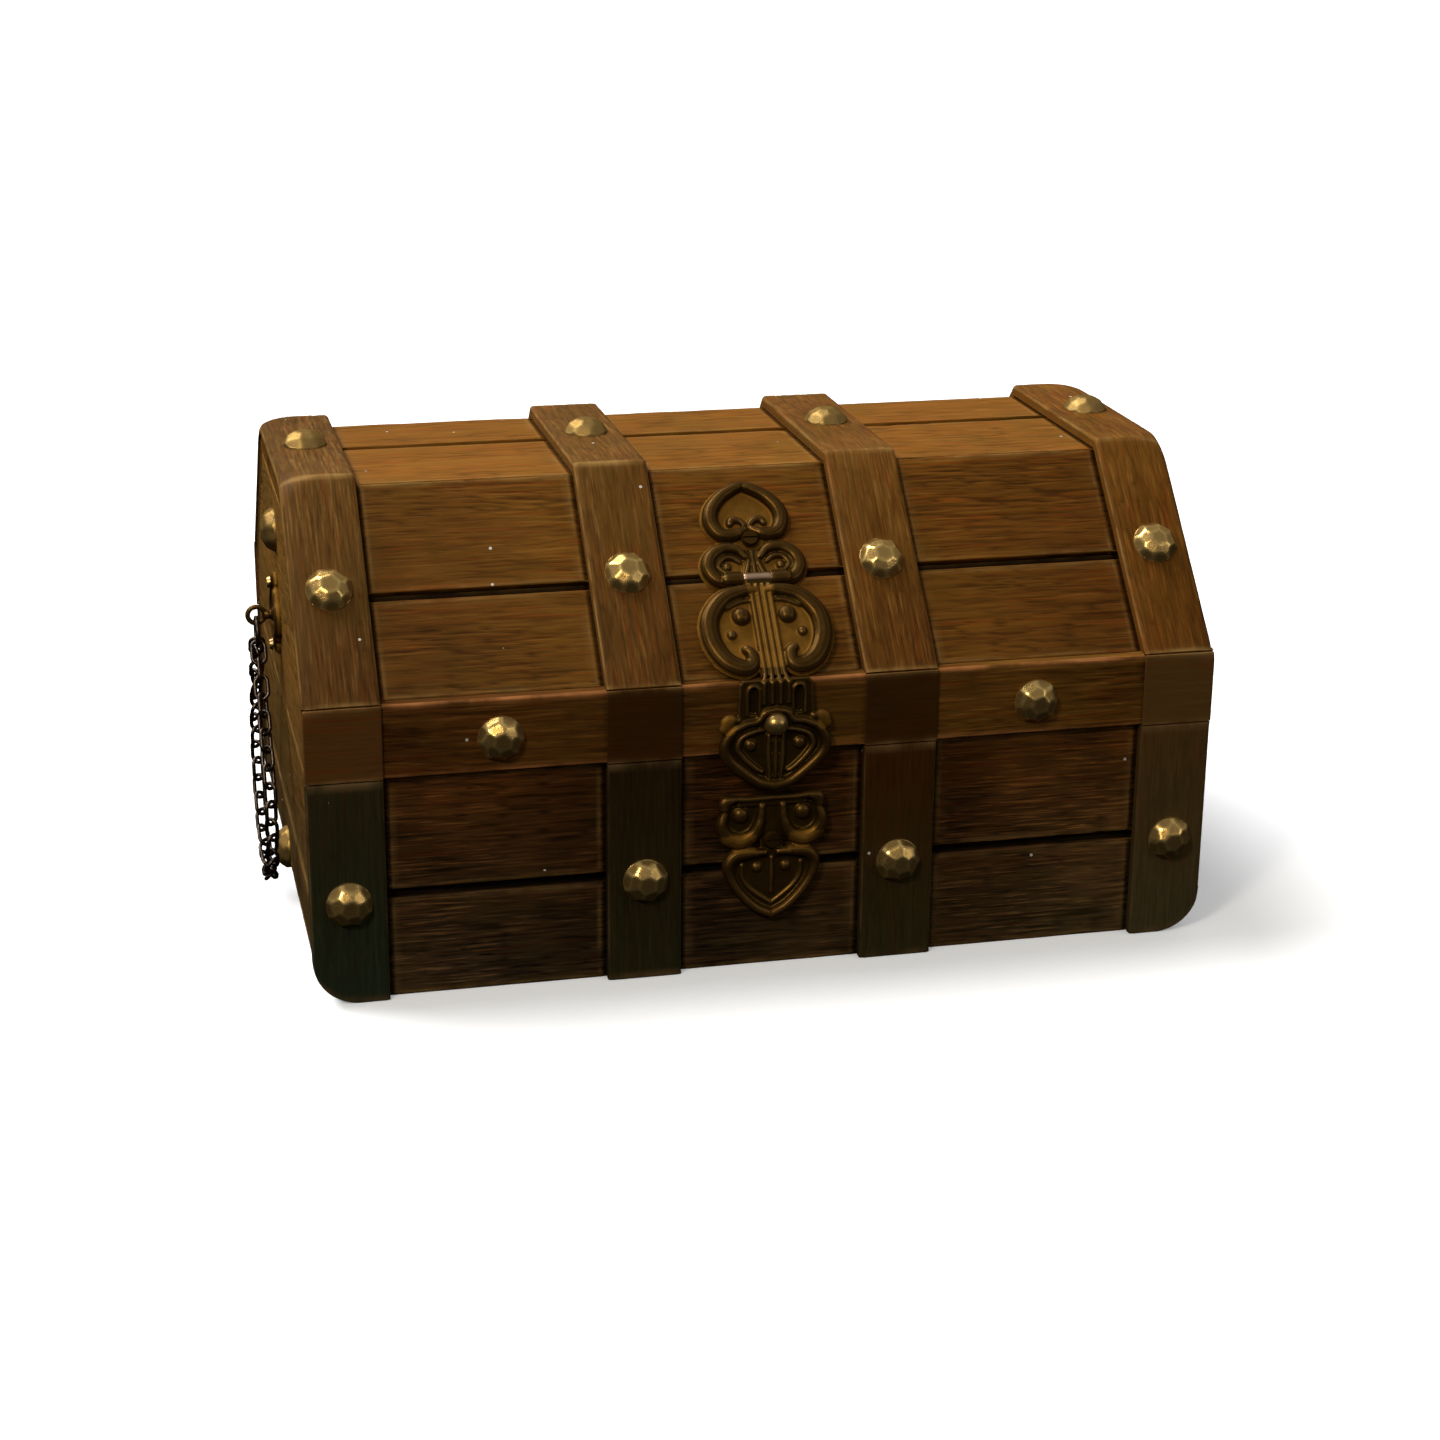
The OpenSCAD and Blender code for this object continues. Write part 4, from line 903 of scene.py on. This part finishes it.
def on_face(face, points):
    """Points given across, up and out of a face, in the chest's frame."""
    origin, across, up, out = FACES[face]
    points = np.asarray(points, float)
    return origin + points[..., :1] * across + points[..., 1:2] * up + points[..., 2:3] * out


# --- Studs ---

# The height of the flat on top, the height of the rim, and how far the edges between flats are blended.
STUD_TOP = STUD_H - 0.16
STUD_RIM = 0.25
STUD_SOFT = 0.03


def stud(rng):
    """A hammered dome on a flat back: each point is cut down to the lowest of a few flats around the dome."""
    ball = (STUD_R**2 + STUD_H**2) / (2 * STUD_H)
    start = rng.uniform(0, 2 * math.pi)
    flats = []
    for count, tilt in ((6, 31), (8, 56)):
        for k in range(count):
            turn = start + 2 * math.pi * (k + rng.uniform(-0.16, 0.16)) / count
            lean = math.radians(tilt + rng.uniform(-3, 3))
            flats.append((math.sin(lean) * math.cos(turn), math.sin(lean) * math.sin(turn), lean))
    rings, around = 15, 44
    vertices = []
    for r in range(1, rings + 1):
        for x, y, _ in circle(STUD_R * math.sin(math.pi / 2 * r / rings), 0, around):
            heights = np.array([STUD_TOP] + [(ball - nx * x - ny * y) / math.cos(lean) - ball + STUD_H
                                             for nx, ny, lean in flats])
            soft = -np.log(np.sum(np.exp(-heights / STUD_SOFT))) * STUD_SOFT
            vertices.append((x, y, max(soft, STUD_RIM)))
    n = len(vertices)
    skirt = circle(STUD_R, -0.3, around)
    faces = ring_faces(rings, around)
    last = (rings - 1) * around
    faces += [(last + k, last + (k + 1) % around, n + 1 + (k + 1) % around, n + 1 + k) for k in range(around)]
    faces += [(n, (k + 1) % around, k) for k in range(around)]
    faces.append(tuple(n + 1 + k for k in range(around)))
    return np.array(vertices + [(0, 0, STUD_TOP)] + skirt), faces


def make_studs(mats):
    rng = np.random.default_rng(7)
    ends = ("left", "right")
    groups = {
        "base_studs": ("base", [(f, x, BASE_STUD_Z, 0) for x in STRAP_XS for f in ("front", "back")]
                       + [(f, END_STUD_Y, BASE_END_STUD_Z, 0) for f in ends]),
        "lid_strap_studs": ("lid", [(f, x, s, 0) for x in STRAP_XS
                                    for f, s in (("front_slope", SLOPE_STUD_S), ("top", 0),
                                                 ("back_slope", SLOPE_STUD_S))]),
        "lid_rail_studs": ("lid", [(f, x, RAIL_STUD_Z, -RAIL_D) for x in (-RAIL_STUD_X, RAIL_STUD_X)
                                   for f in ("front", "back")]
                           + [(f, END_STUD_Y, LID_END_STUD_Z, 0) for f in ends]),
    }
    for node, (body, places) in groups.items():
        parts = []
        for face, *place in places:
            vertices, faces = stud(rng)
            parts.append((on_face(face, vertices + np.array(place)), faces))
        mark_cavity(new_piece(f"hammered_{node}", joined(parts), mats["brass"], body, [node]), 2, 0.12)


# --- Hasp: strokes of metal merged into castings ---

# The remesh's cell, and the widths over which raised metal turns into ground and ochre stops.
CELL = 0.22
GROUND_BLEND = 0.3
OCHRE_BLEND = 0.5


def curve(points, step=0.35):
    """A smooth line through the points, with as many columns as they have."""
    points = np.array(points, float)
    padded = np.vstack([2 * points[0] - points[1], points, 2 * points[-1] - points[-2]])
    out = []
    for i in range(1, len(padded) - 2):
        a, b, c, d = padded[i - 1:i + 3]
        count = max(2, math.ceil(float(np.linalg.norm((c - b)[:2])) / step))
        for k in range(count):
            t = k / count
            out.append(0.5 * (2 * b + (c - a) * t + (2 * a - 5 * b + 4 * c - d) * t**2
                              + (3 * b - a - 3 * c + d) * t**3))
    out.append(points[-1])
    return np.array(out)


def stroke(line, outs, radii, rises):
    """A closed tube along 3-D points with round ends. outs, its outward directions, radii, its half widths across
    them, and rises, those along them, are one for each point or one for all."""
    line = np.array(line, float)
    outs, radii, rises = np.broadcast_to(outs, line.shape), *np.broadcast_arrays(radii, rises, line[:, 0])[:2]
    ahead = np.gradient(line, axis=0)
    ahead /= np.linalg.norm(ahead, axis=1)[:, None]
    sides = np.cross(outs, ahead)
    sides /= np.linalg.norm(sides, axis=1)[:, None]
    ends = [[(line[i] + sign * ahead[i] * radii[i] * math.sin(a), i, math.cos(a)) for a in (0.35, 0.7, 1.05, 1.4)]
            for i, sign in ((0, -1), (len(line) - 1, 1))]
    samples = ends[0][::-1] + [(p, i, 1.0) for i, p in enumerate(line)] + ends[1]
    around = 12
    angles = np.linspace(0, 2 * math.pi, around, endpoint=False)
    rings = [centre + shrink * (np.outer(np.cos(angles) * radii[i], sides[i])
                                + np.outer(np.sin(angles) * rises[i], outs[i])) for centre, i, shrink in samples]
    faces = ring_faces(len(rings), around)
    faces.append(tuple(range(around)))
    faces.append(tuple((len(rings) - 1) * around + k for k in reversed(range(around))))
    return np.concatenate(rings), faces


def band(face, path, height, rise, mirror=True):
    """Strokes on one face: path is (across, up, radius) points and height is the middle of the metal. mirror adds a
    twin on the other side."""
    line = curve(path)
    result = []
    for sign in ((1, -1) if mirror else (1,)):
        points = np.stack([sign * line[:, 0], line[:, 1], np.full(len(line), height)], 1)
        result.append(stroke(on_face(face, points), FACES[face][3], line[:, 2], np.minimum(rise, line[:, 2] * 1.4)))
    return result


def ball(face, across, up, height, radius, rise, mirror=True):
    """A bulb, as a very short stroke."""
    tiny = 0.05
    path = [(across, up - tiny, radius), (across, up, radius), (across, up + tiny, radius)]
    return band(face, path, height, rise, mirror)


def slab(face, outline, low, high):
    """A flat plate of that outline between two heights."""
    n = len(outline)
    points = [(x, y, low) for x, y in outline] + [(x, y, high) for x, y in outline]
    faces = [tuple(range(n)), tuple(range(n, 2 * n))[::-1]]
    faces += [(k, (k + 1) % n, n + (k + 1) % n, n + k) for k in range(n)]
    return on_face(face, points), faces


def both(outline):
    """Half an outline, from bottom to top at the right, and its mirror image."""
    return outline + [(-x, y) for x, y in reversed(outline)]


def plate(face, outline, low, high):
    return slab(face, both(outline), low, high)


def cast(name, parts, material, body, replaced, levels, rubbed_highlight=None, ochre=()):
    """Parts merged into one casting by a voxel remesh, then softened. levels gives, for each face that it lies on,
    the height under which it counts as ground. The bright band is a face, a place up it and a half width of rubbing,
    which is also a painted highlight. ochre lists raised areas that take the ground's colour, some as the metal's own
    colour and some as painted light where they catch the light: a face, a span across, a span up, and how much."""
    vertices, faces, _ = joined(parts)
    mesh = bpy.data.meshes.new(name)
    mesh.from_pydata(vertices.tolist(), [], faces)
    fix_normals(mesh)
    work = add_object(name + "_work", mesh)
    remesh = work.modifiers.new("remesh", "REMESH")
    remesh.mode = "VOXEL"
    remesh.voxel_size = CELL
    soften = work.modifiers.new("soften", "SMOOTH")
    soften.iterations = 2
    soften.factor = 0.5
    done = work.evaluated_get(bpy.context.evaluated_depsgraph_get()).to_mesh()
    points = read(done.vertices, "co")
    polygons = [tuple(p.vertices) for p in done.polygons]
    bpy.data.objects.remove(work)
    raised = np.max([measures(face, points)[2] - level for face, level in levels.items()], 0)
    marks = {"ground": np.clip(0.5 - raised / GROUND_BLEND, 0, 1), "rub_highlight": np.zeros(len(points))}
    for face, across_span, up_span, amount in ochre:
        across, up, out = measures(face, points)
        inside = amount * (out > -2.0)
        for value, (low, high) in ((np.abs(across), across_span), (up, up_span)):
            for within in (value - low, high - value):
                inside = inside * np.clip(within / OCHRE_BLEND + 0.5, 0, 1)
        marks["ground"] = np.maximum(marks["ground"], inside)
    if rubbed_highlight:
        face, place, half = rubbed_highlight
        across, up, out = measures(face, points)
        marks["rub_highlight"] = np.clip(1.3 - np.abs(up - place) / 0.7, 0, 1) * (np.abs(across) < half) * (out > -0.3)
    mark_cavity(new_piece(name, (points, polygons, marks), material, body, replaced), 10, 0.1)


def measures(face, points):
    """How far points are across, up and out of a face."""
    origin, *axes = FACES[face]
    return [(points - origin) @ axis for axis in axes]


def flange(face, path, low):
    """The thin ledge of ground around a raised band."""
    return band(face, [(x, y, r + 0.5) for x, y, r in path], low, 0.55)


def make_upper_plate(mats):
    face = "front_slope"
    wood_at = -PLANK_D
    mid = wood_at + 0.7
    spade = [(0.9, 37.2, 1.0), (3.4, 36.0, 1.5), (6.4, 36.5, 1.75), (7.9, 39.4, 1.8), (7.3, 42.6, 1.75),
             (5.0, 45.4, 1.6), (2.2, 47.2, 1.45), (0, 48.0, 1.2)]
    curl = [(0.5, 38.4, 0.7), (1.6, 39.5, 0.85), (3.2, 39.7, 1.0), (3.8, 38.8, 0.8)]
    scroll = [(1.7, 30.6, 0.9), (3.4, 32.3, 1.2), (6.4, 32.7, 1.5), (9.2, 31.0, 1.65), (10.1, 28.2, 1.7),
              (8.8, 25.6, 1.65), (6.2, 24.6, 1.5), (4.4, 25.6, 1.1)]
    inner = [(3.0, 29.4, 0.55), (4.6, 30.5, 0.7), (6.6, 30.4, 0.75), (7.9, 28.6, 0.7), (6.9, 27.2, 0.6)]
    parts = band(face, spade, mid, 1.85) + band(face, curl, mid, 1.1) + band(face, scroll, mid, 1.75)
    parts += band(face, inner, mid, 1.0) + ball(face, 6.0, 28.3, mid, 1.0, 1.1)
    parts += flange(face, spade, wood_at) + flange(face, scroll, wood_at)
    low, high = wood_at - 0.1, wood_at + 0.55
    parts += [
        plate(face, [(1.0, 36.5), (6.5, 36.5), (7.8, 40), (6.4, 44.4), (0.1, 47.6)], low, high),
        plate(face, [(3.4, 25.9), (9.0, 25.5), (10.0, 28.5), (8.6, 31.6), (3.4, 32.6), (2.8, 36.8)], low, high),
        plate(face, [(2.9, 26.2), (2.2, 29.0), (2.2, 31.6)], low, wood_at + 1.0),
    ]
    for x in (0.0, 1.3):
        parts += band(face, [(0.9 * x, 31.9, 0.5), (0.8 * x, 29.4, 0.45), (1.5 * x, 26.4, 0.55)], wood_at + 1.0, 0.55,
                      x > 0)
    for side in (-1, 1):
        parts.append(rod(face, side * 3.2, side * 7.0, 24.9, -0.8, 1.35))
        parts.append(slab(face, [(side * 3.2, 25.2), (side * 7.0, 25.2), (side * 7.0, 27.0), (side * 3.2, 27.0)],
                          wood_at, -0.8))
    cast("upper_casting", parts, mats["bronze"], "lid", ["hasp_upper_plate"], {face: wood_at + 0.95})


def rod(face, x0, x1, up, height, radius):
    """A barrel across the face."""
    line = on_face(face, [(x0 + (x1 - x0) * t, up, height) for t in np.linspace(0.1, 0.9, 6)])
    return stroke(line, FACES[face][3], radius, radius)


def make_leaf(mats):
    face = "front_slope"
    low = -1.0
    mid = low + 0.55
    kidney = [(1.2, 21.6, 1.0), (4.2, 21.5, 1.6), (8.6, 19.9, 2.0), (11.9, 15.6, 2.15), (12.2, 10.2, 2.2),
              (10.0, 5.6, 2.2), (6.6, 3.5, 2.1), (4.4, 4.2, 1.7), (4.3, 6.4, 1.5), (5.2, 7.6, 1.2)]
    parts = band(face, kidney, mid, 1.8) + flange(face, kidney, low + 0.1)
    parts.append(plate(face, [(4.2, 2.6), (8.4, 3.2), (12, 8.5), (12, 16), (8.6, 20.2), (2.6, 22.2)], low,
                       low + 0.55))
    parts += ball(face, 5.1, 15.6, low + 0.6, 2.1, 1.9)
    parts += ball(face, 7.8, 11.4, low + 0.5, 1.15, 1.2)
    parts += band(face, [(2.9, 19.3, 0.5), (5.4, 19.0, 0.7), (8.2, 17.6, 0.5)], low + 0.6, 0.8)
    parts.append(plate(face, [(2.9, 1.2), (2.5, 12), (2.5, 23.4)], low, low + 1.25))
    parts.append(rod(face, -3.0, 3.0, 24.9, -0.8, 1.4))
    parts.append(plate(face, [(3.0, 21.8), (2.9, 24.6)], low, 0.1))
    for x in (-2.1, -0.72, 0.72, 2.1):
        spread = 1.3 * x
        line = [on_face(face, [(x, s, 0.15)])[0] for s in (22.8, 17, 11, 5, 1.6)]
        line += [on_face("front", [(spread, z, 0.75)])[0] for z in (RAIL_TOP - 0.2, 64.2, 61.8)]
        outs = [FACES[face][3]] * 5 + [(0, -0.92, 0.39)] + [FACES["front"][3]] * 2
        dense, dense_outs = along_3d(line, outs)
        parts.append(stroke(dense, dense_outs, 0.5, 0.6))
    parts += leaf_front()
    levels = {face: low + 0.95, "front": -0.6}
    # The fluted bar keeps the ochre as its own colour; the lobes in front are painted ochre as light.
    ochre = [(face, (-1, 2.9), (3, 22.6), 0.6), ("front", (9.2, 13), (55.4, 60.6), 0.8)]
    # The middle barrel gets a bright band of rubbing, also a painted highlight.
    cast("leaf_casting", parts, mats["bronze"], "hasp", ["hasp_leaf"], levels, (face, 24.9, 3.4), ochre)


def along_3d(points, outs, step=0.6):
    """A polyline through 3-D points with its outward directions, divided evenly."""
    points, outs = np.array(points, float), np.array(outs, float)
    line, turned = [], []
    for a, b, p, q in zip(points, points[1:], outs, outs[1:]):
        count = max(1, math.ceil(float(np.linalg.norm(b - a)) / step))
        for k in range(count):
            t = k / count
            line.append(a + (b - a) * t)
            turned.append(p + (q - p) * t)
    line.append(points[-1])
    turned.append(outs[-1])
    turned = np.array(turned)
    return np.array(line), turned / np.linalg.norm(turned, axis=1)[:, None]


def leaf_front():
    """The part of the leaf in front of the rail: neck with two slots, lobes, arch and heart."""
    face = "front"
    low, high = -0.35, 0.7
    parts = [
        plate(face, [(3.6, 55.5), (3.6, 66.9)], low, high),
        plate(face, [(8.6, 56.6), (8.6, 59.2)], low, high),
        plate(face, [(8.0, 65.4), (7.4, 66.9)], low, high),
    ]
    for side in (-1, 1):
        slot = [(side * x, z) for x, z in ((3.4, 58.2), (6.6, 58.2), (6.6, 66.0), (3.4, 66.0))]
        parts.append(slab(face, slot, low, 0.0))
        upright = [(side * x, z) for x, z in ((6.3, 58.6), (8.4, 58.6), (8.0, 66.2), (6.3, 66.2))]
        parts.append(slab(face, upright, low, high))
    parts += band(face, [(3.7, 59.4, 0.4), (3.7, 64.4, 0.4), (5.0, 65.7, 0.4), (6.3, 64.4, 0.4), (6.4, 59.4, 0.4)],
                  0.6, 0.55)
    parts += band(face, [(8.4, 58.2, 1.0), (10.2, 57.8, 1.8), (11.2, 56.4, 1.3)], 0.3, 1.0)
    parts += band(face, [(0, 60.2, 0.75), (2.4, 59.6, 0.75), (4.0, 57.8, 0.8), (6.8, 57.2, 0.85), (9.6, 55.6, 1.0),
                         (11.2, 52.6, 1.2), (10.4, 49.6, 1.3), (7.2, 46.4, 1.3), (3.4, 43.8, 1.2),
                         (0, 42.9, 1.2)], 0.45, 1.3)
    heart = [(0.1, 42.4), (3.6, 44.0), (8.0, 47.0), (10.6, 50.6), (10.8, 53.4), (8.6, 56.4), (3.0, 57.4)]
    parts.append(plate(face, heart, low, 0.15))
    parts += band(face, [(2.6, 55.6, 0.5), (4.6, 55.4, 0.6), (7.4, 54.2, 0.65), (8.3, 51.8, 0.7), (6.6, 49.2, 0.7),
                         (4.2, 47.0, 0.6), (2.9, 46.2, 0.5)], 0.3, 0.85)
    for x in (0.0, 1.5):
        parts += band(face, [(x, 54.4, 0.55), (1.05 * x, 50, 0.6), (0.8 * x, 44.8, 0.5)], 0.35, 0.85, x > 0)
    parts += ball(face, 5.4, 52.2, 0.1, 1.3, 0.9)
    return parts


def make_lower_plate(mats):
    face = "front"
    wood_at = -BASE_D
    mid = wood_at + 0.55
    parts = [
        plate(face, [(7.8, 37.7), (7.8, 39.6)], wood_at, -1.2),
        plate(face, [(2.4, 25.5), (2.6, 37.8)], wood_at, -1.5),
        plate(face, [(0.1, 11.8), (4.6, 15.4), (7.6, 19.6), (8.4, 24.6), (3.0, 26.4)], wood_at, -1.75),
        plate(face, [(2.0, 28.8), (8.4, 29.2), (11.4, 32.2), (10.8, 37.0), (7.8, 38.2)], wood_at, mid),
    ]
    parts += band(face, [(0, 39.4, 0.7), (5.0, 39.3, 0.7), (8.4, 39.5, 0.85), (10.2, 38.8, 1.5), (10.6, 37.6, 1.2)],
                  mid + 0.2, 1.25)
    parts += band(face, [(2.3, 37.6, 0.9), (2.7, 34.2, 1.2), (4.1, 31.1, 1.6), (7.0, 29.6, 1.9), (10.0, 30.9, 1.8),
                         (11.2, 33.8, 1.4), (10.6, 36.4, 1.0)], mid, 1.8)
    parts += ball(face, 6.9, 35.6, mid - 0.2, 1.8, 1.5)
    parts += band(face, [(1.6, 26.8, 0.9), (4.6, 26.8, 1.3), (8.0, 26.2, 1.6), (9.6, 24.2, 1.4), (9.0, 21.0, 1.2),
                         (6.8, 17.4, 1.2), (3.4, 14.0, 1.2), (0, 12.2, 1.2)], mid, 1.7)
    parts += band(face, [(6.6, 24.0, 0.5), (6.4, 21.0, 0.55), (4.6, 18.2, 0.55), (0, 14.6, 0.5)], mid - 0.1, 0.95)
    parts += band(face, [(0, 25.4, 0.6), (0, 21.4, 0.7), (0, 17.4, 0.5)], mid, 1.1, False)
    parts += ball(face, 3.2, 23.2, mid - 0.2, 1.2, 1.1)
    # The scrolls' lower arcs are painted ochre as light.
    cast("lower_casting", parts, mats["bronze"], "base", ["hasp_lower_plate"], {face: -5.0},
         ochre=[(face, (3.6, 11.6), (27.4, 31.4), 0.75)])


# --- Escutcheons on the ends ---

EYE_ACROSS = 5.0
EYE_Z = 69.0
EYE_R = 1.9
EYE_WIRE_R = 0.6
EYE_OUT = 5.0


def eye(face):
    """The ring that the hanging ring passes through, on its short stem."""
    rings, around = 28, 12
    points = []
    for u in np.linspace(0, 2 * math.pi, rings, endpoint=False):
        for v in np.linspace(0, 2 * math.pi, around, endpoint=False):
            reach = EYE_R + EYE_WIRE_R * math.cos(v)
            points.append((EYE_ACROSS + EYE_WIRE_R * math.sin(v), EYE_Z + reach * math.sin(u),
                           EYE_OUT + reach * math.cos(u)))
    stem = on_face(face, [(EYE_ACROSS, EYE_Z, h) for h in np.linspace(0.8, EYE_OUT - EYE_R - 0.6, 5)])
    return [(on_face(face, points), ring_faces(rings, around, closed=True)), stroke(stem, (0, 0, 1), 1.1, 1.1)]


def make_escutcheon(mats, face):
    """A small plate of two scrolls with a lobe at each end for its nails."""
    rim = [(0.4, 6.2, 0.8), (2.6, 5.6, 0.9), (4.4, 3.6, 1.0), (6.0, 2.2, 1.05), (6.5, 0.0, 1.1), (5.6, -2.2, 1.05),
           (3.6, -3.6, 1.0), (2.2, -5.2, 0.9), (0.4, -5.9, 0.8)]
    curl = [(3.9, 3.4, 0.6), (4.7, 1.6, 0.75), (4.4, -0.2, 0.8), (3.2, 0.2, 0.7)]
    half = [(1.0, -8.6), (2.2, -7), (1.6, -5), (4.6, -3), (6.6, 0), (4.6, 3.4), (1.8, 5.4), (2.4, 7.6), (1.0, 9.2)]
    parts = [slab(face, [(EYE_ACROSS + x, EYE_Z + z) for x, z in both(half)], -0.1, 0.7)]
    for sign in (-1, 1):
        for path, rise in ((rim, 1.3), (curl, 1.0)):
            moved = [(EYE_ACROSS + sign * x, EYE_Z + z, r) for x, z, r in path]
            parts += band(face, moved, 0.3, rise, False)
    for z in (7.5, -7.0):
        parts += ball(face, EYE_ACROSS, EYE_Z + z, 0.2, 2.3, 1.3, False)
    parts += ball(face, EYE_ACROSS, EYE_Z, 0.4, 2.0, 1.6, False)
    cast(f"{face}_scroll_plate", parts + eye(face), mats["bronze"], "lid", [f"{face}_escutcheon"], {face: 0.9})


# --- Treasure ---

# Half the size of the area over the bubble slot, which stays free.
SLOT_HALF_X = 30
SLOT_HALF_Y = 8


def turned(tip, rings, around):
    """A solid turned about Z: tips that far above and below, and rings of (radius, height) between them."""
    vertices = [(0, 0, tip), (0, 0, -tip)] + [point for r, h in rings for point in circle(r, h, around)]
    last = 2 + (len(rings) - 1) * around
    faces = ring_faces(len(rings), around, 2)
    faces += [(0, 2 + (k + 1) % around, 2 + k) for k in range(around)]
    faces += [(1, last + k, last + (k + 1) % around) for k in range(around)]
    return np.array(vertices), faces


def coin(rng):
    """A plain coin with a raised rim and a ring."""
    radius = rng.uniform(3.3, 4.6)
    profile = [(0.55, 0.42), (0.6, 0.5), (0.66, 0.42), (0.86, 0.42), (0.9, 0.6), (0.98, 0.6), (1.0, 0.5)]
    rings = [(r * radius, h) for r, h in profile] + [(r * radius, -h) for r, h in reversed(profile)]
    return turned(0.42, rings, 26)


def pearl(rng):
    radius, rings = rng.uniform(1.5, 2.1), 9
    angles = [math.pi * r / rings for r in range(1, rings)]
    return turned(radius, [(radius * math.sin(a), radius * math.cos(a)) for a in angles], 16)


def gem(rng):
    """A brilliant cut: a flat table, a crown, a girdle and a point."""
    size, around = rng.uniform(2.2, 3.2), 8
    vertices = [(0, 0, -0.75 * size)]
    for r, h, shift in ((0.55, 0.42, 0), (0.85, 0.25, 0.5), (1.0, 0.02, 0)):
        vertices += circle(size * r, size * h, around, shift)
    faces = [tuple(1 + k for k in range(around))]
    for ring in (0, 1):
        a, b = 1 + ring * around, 1 + (ring + 1) * around
        for k in range(around):
            n = (k + 1) % around
            if ring == 0:
                faces += [(a + k, b + k, a + n), (a + n, b + k, b + n)]
            else:
                faces += [(a + k, b + k, b + n), (a + k, b + n, a + n)]
    girdle = 1 + 2 * around
    faces += [(0, girdle + (k + 1) % around, girdle + k) for k in range(around)]
    return np.array(vertices), faces


def scatter(make, count, rng, lift, tilt, surface, half_x, half_y):
    """Seeded copies of a shape, laid on the heap and leaning by up to tilt."""
    parts = []
    while len(parts) < count:
        x, y = rng.uniform(-half_x, half_x), rng.uniform(-half_y, half_y)
        if abs(x) < SLOT_HALF_X and abs(y) < SLOT_HALF_Y:
            continue
        hit = surface.ray_cast(Vector((x * MM, y * MM, 0.2)), Vector((0, 0, -1)))[0]
        if hit is None:
            continue
        vertices, faces = make(rng)
        lean = Euler((rng.uniform(-tilt, tilt), rng.uniform(-tilt, tilt), rng.uniform(0, 6.28)))
        turned = vertices @ np.array(lean.to_matrix()).T
        parts.append((turned + np.array([x, y, hit.z / MM + rng.uniform(*lift)]), faces))
    return joined(parts)


def make_treasure(mats):
    rng = np.random.default_rng(23)
    heap = nodes["treasure_heap"].data
    surface = BVHTree.FromPolygons([v.co for v in heap.vertices], [tuple(p.vertices) for p in heap.polygons])
    low, high = box_mm("treasure_heap")
    half_x, half_y = high[0] - 6, high[1] - 6
    for name, make, count, lift, tilt, material in (
            ("coins_lower", coin, 260, (0.2, 1.4), 0.25, "gilt"), ("coins_upper", coin, 150, (1.6, 4.2), 0.75, "gilt"),
            ("pearls", pearl, 46, (2.2, 4.8), 0.1, "pearl"), ("red_gems", gem, 9, (2.6, 4.6), 0.6, "gem_red"),
            ("green_gems", gem, 8, (2.6, 4.6), 0.6, "gem_green"), ("blue_gems", gem, 8, (2.6, 4.6), 0.6, "gem_blue")):
        heaped = scatter(make, count, rng, lift, tilt, surface, half_x, half_y)
        piece = new_piece(name, heaped, mats[material], "base", smooth=make is pearl)
        if make is coin:
            mark_cavity(piece, 3, 0.08)


# --- CAD nodes that stay ---


def dress(material, *names):
    for name in names:
        node = nodes[name]
        if not node.material_slots:
            node.data.materials.append(material)
        for place in node.material_slots:
            place.material = material


def soften_edges(width, *names):
    """Weld the node's faces and bevel its sharp edges."""
    for name in names:
        weld = nodes[name].modifiers.new("weld", "WELD")
        weld.merge_threshold = 0.005 * MM
        bevel = nodes[name].modifiers.new("bevel", "BEVEL")
        bevel.width = width * MM
        bevel.segments = 2
        bevel.limit_method = "ANGLE"
        bevel.angle_limit = math.radians(40)
        bevel.harden_normals = True


def dress_nodes(mats):
    for material, names in {
            "base": ["base_floor"], "bronze": ["hasp_upper_screw", "hasp_lower_screw"], "brass": ["hasp_knob"],
            "hinge": ["base_hinge_leaves", "lid_hinge_leaves", "base_hinge_screws", "lid_hinge_screws",
                      "escutcheon_nails"],
            "steel": ["hinge_pins", "hasp_pin"], "chain": ["left_ring", "right_ring", "left_chain", "right_chain"],
            "fitting": ["air_inlet", "inlet_nut"], "tube": ["air_tube"], "bell": ["air_bell"],
            "gilt": ["treasure_heap"], "air_stone": ["bubble_stone"], "slate": ["ballast_slabs"]}.items():
        dress(mats[material], *names)
    soften_edges(0.15, "base_hinge_leaves", "lid_hinge_leaves")
    soften_edges(0.3, "ballast_slabs", "air_bell")


make_camera()
make_floor()
make_light()
materials = make_materials()
for make in (make_base_wood, make_lid_wood, make_studs, make_upper_plate, make_leaf, make_lower_plate):
    make(materials)
for end in ("left", "right"):
    make_escutcheon(materials, end)
make_treasure(materials)
dress_nodes(materials)
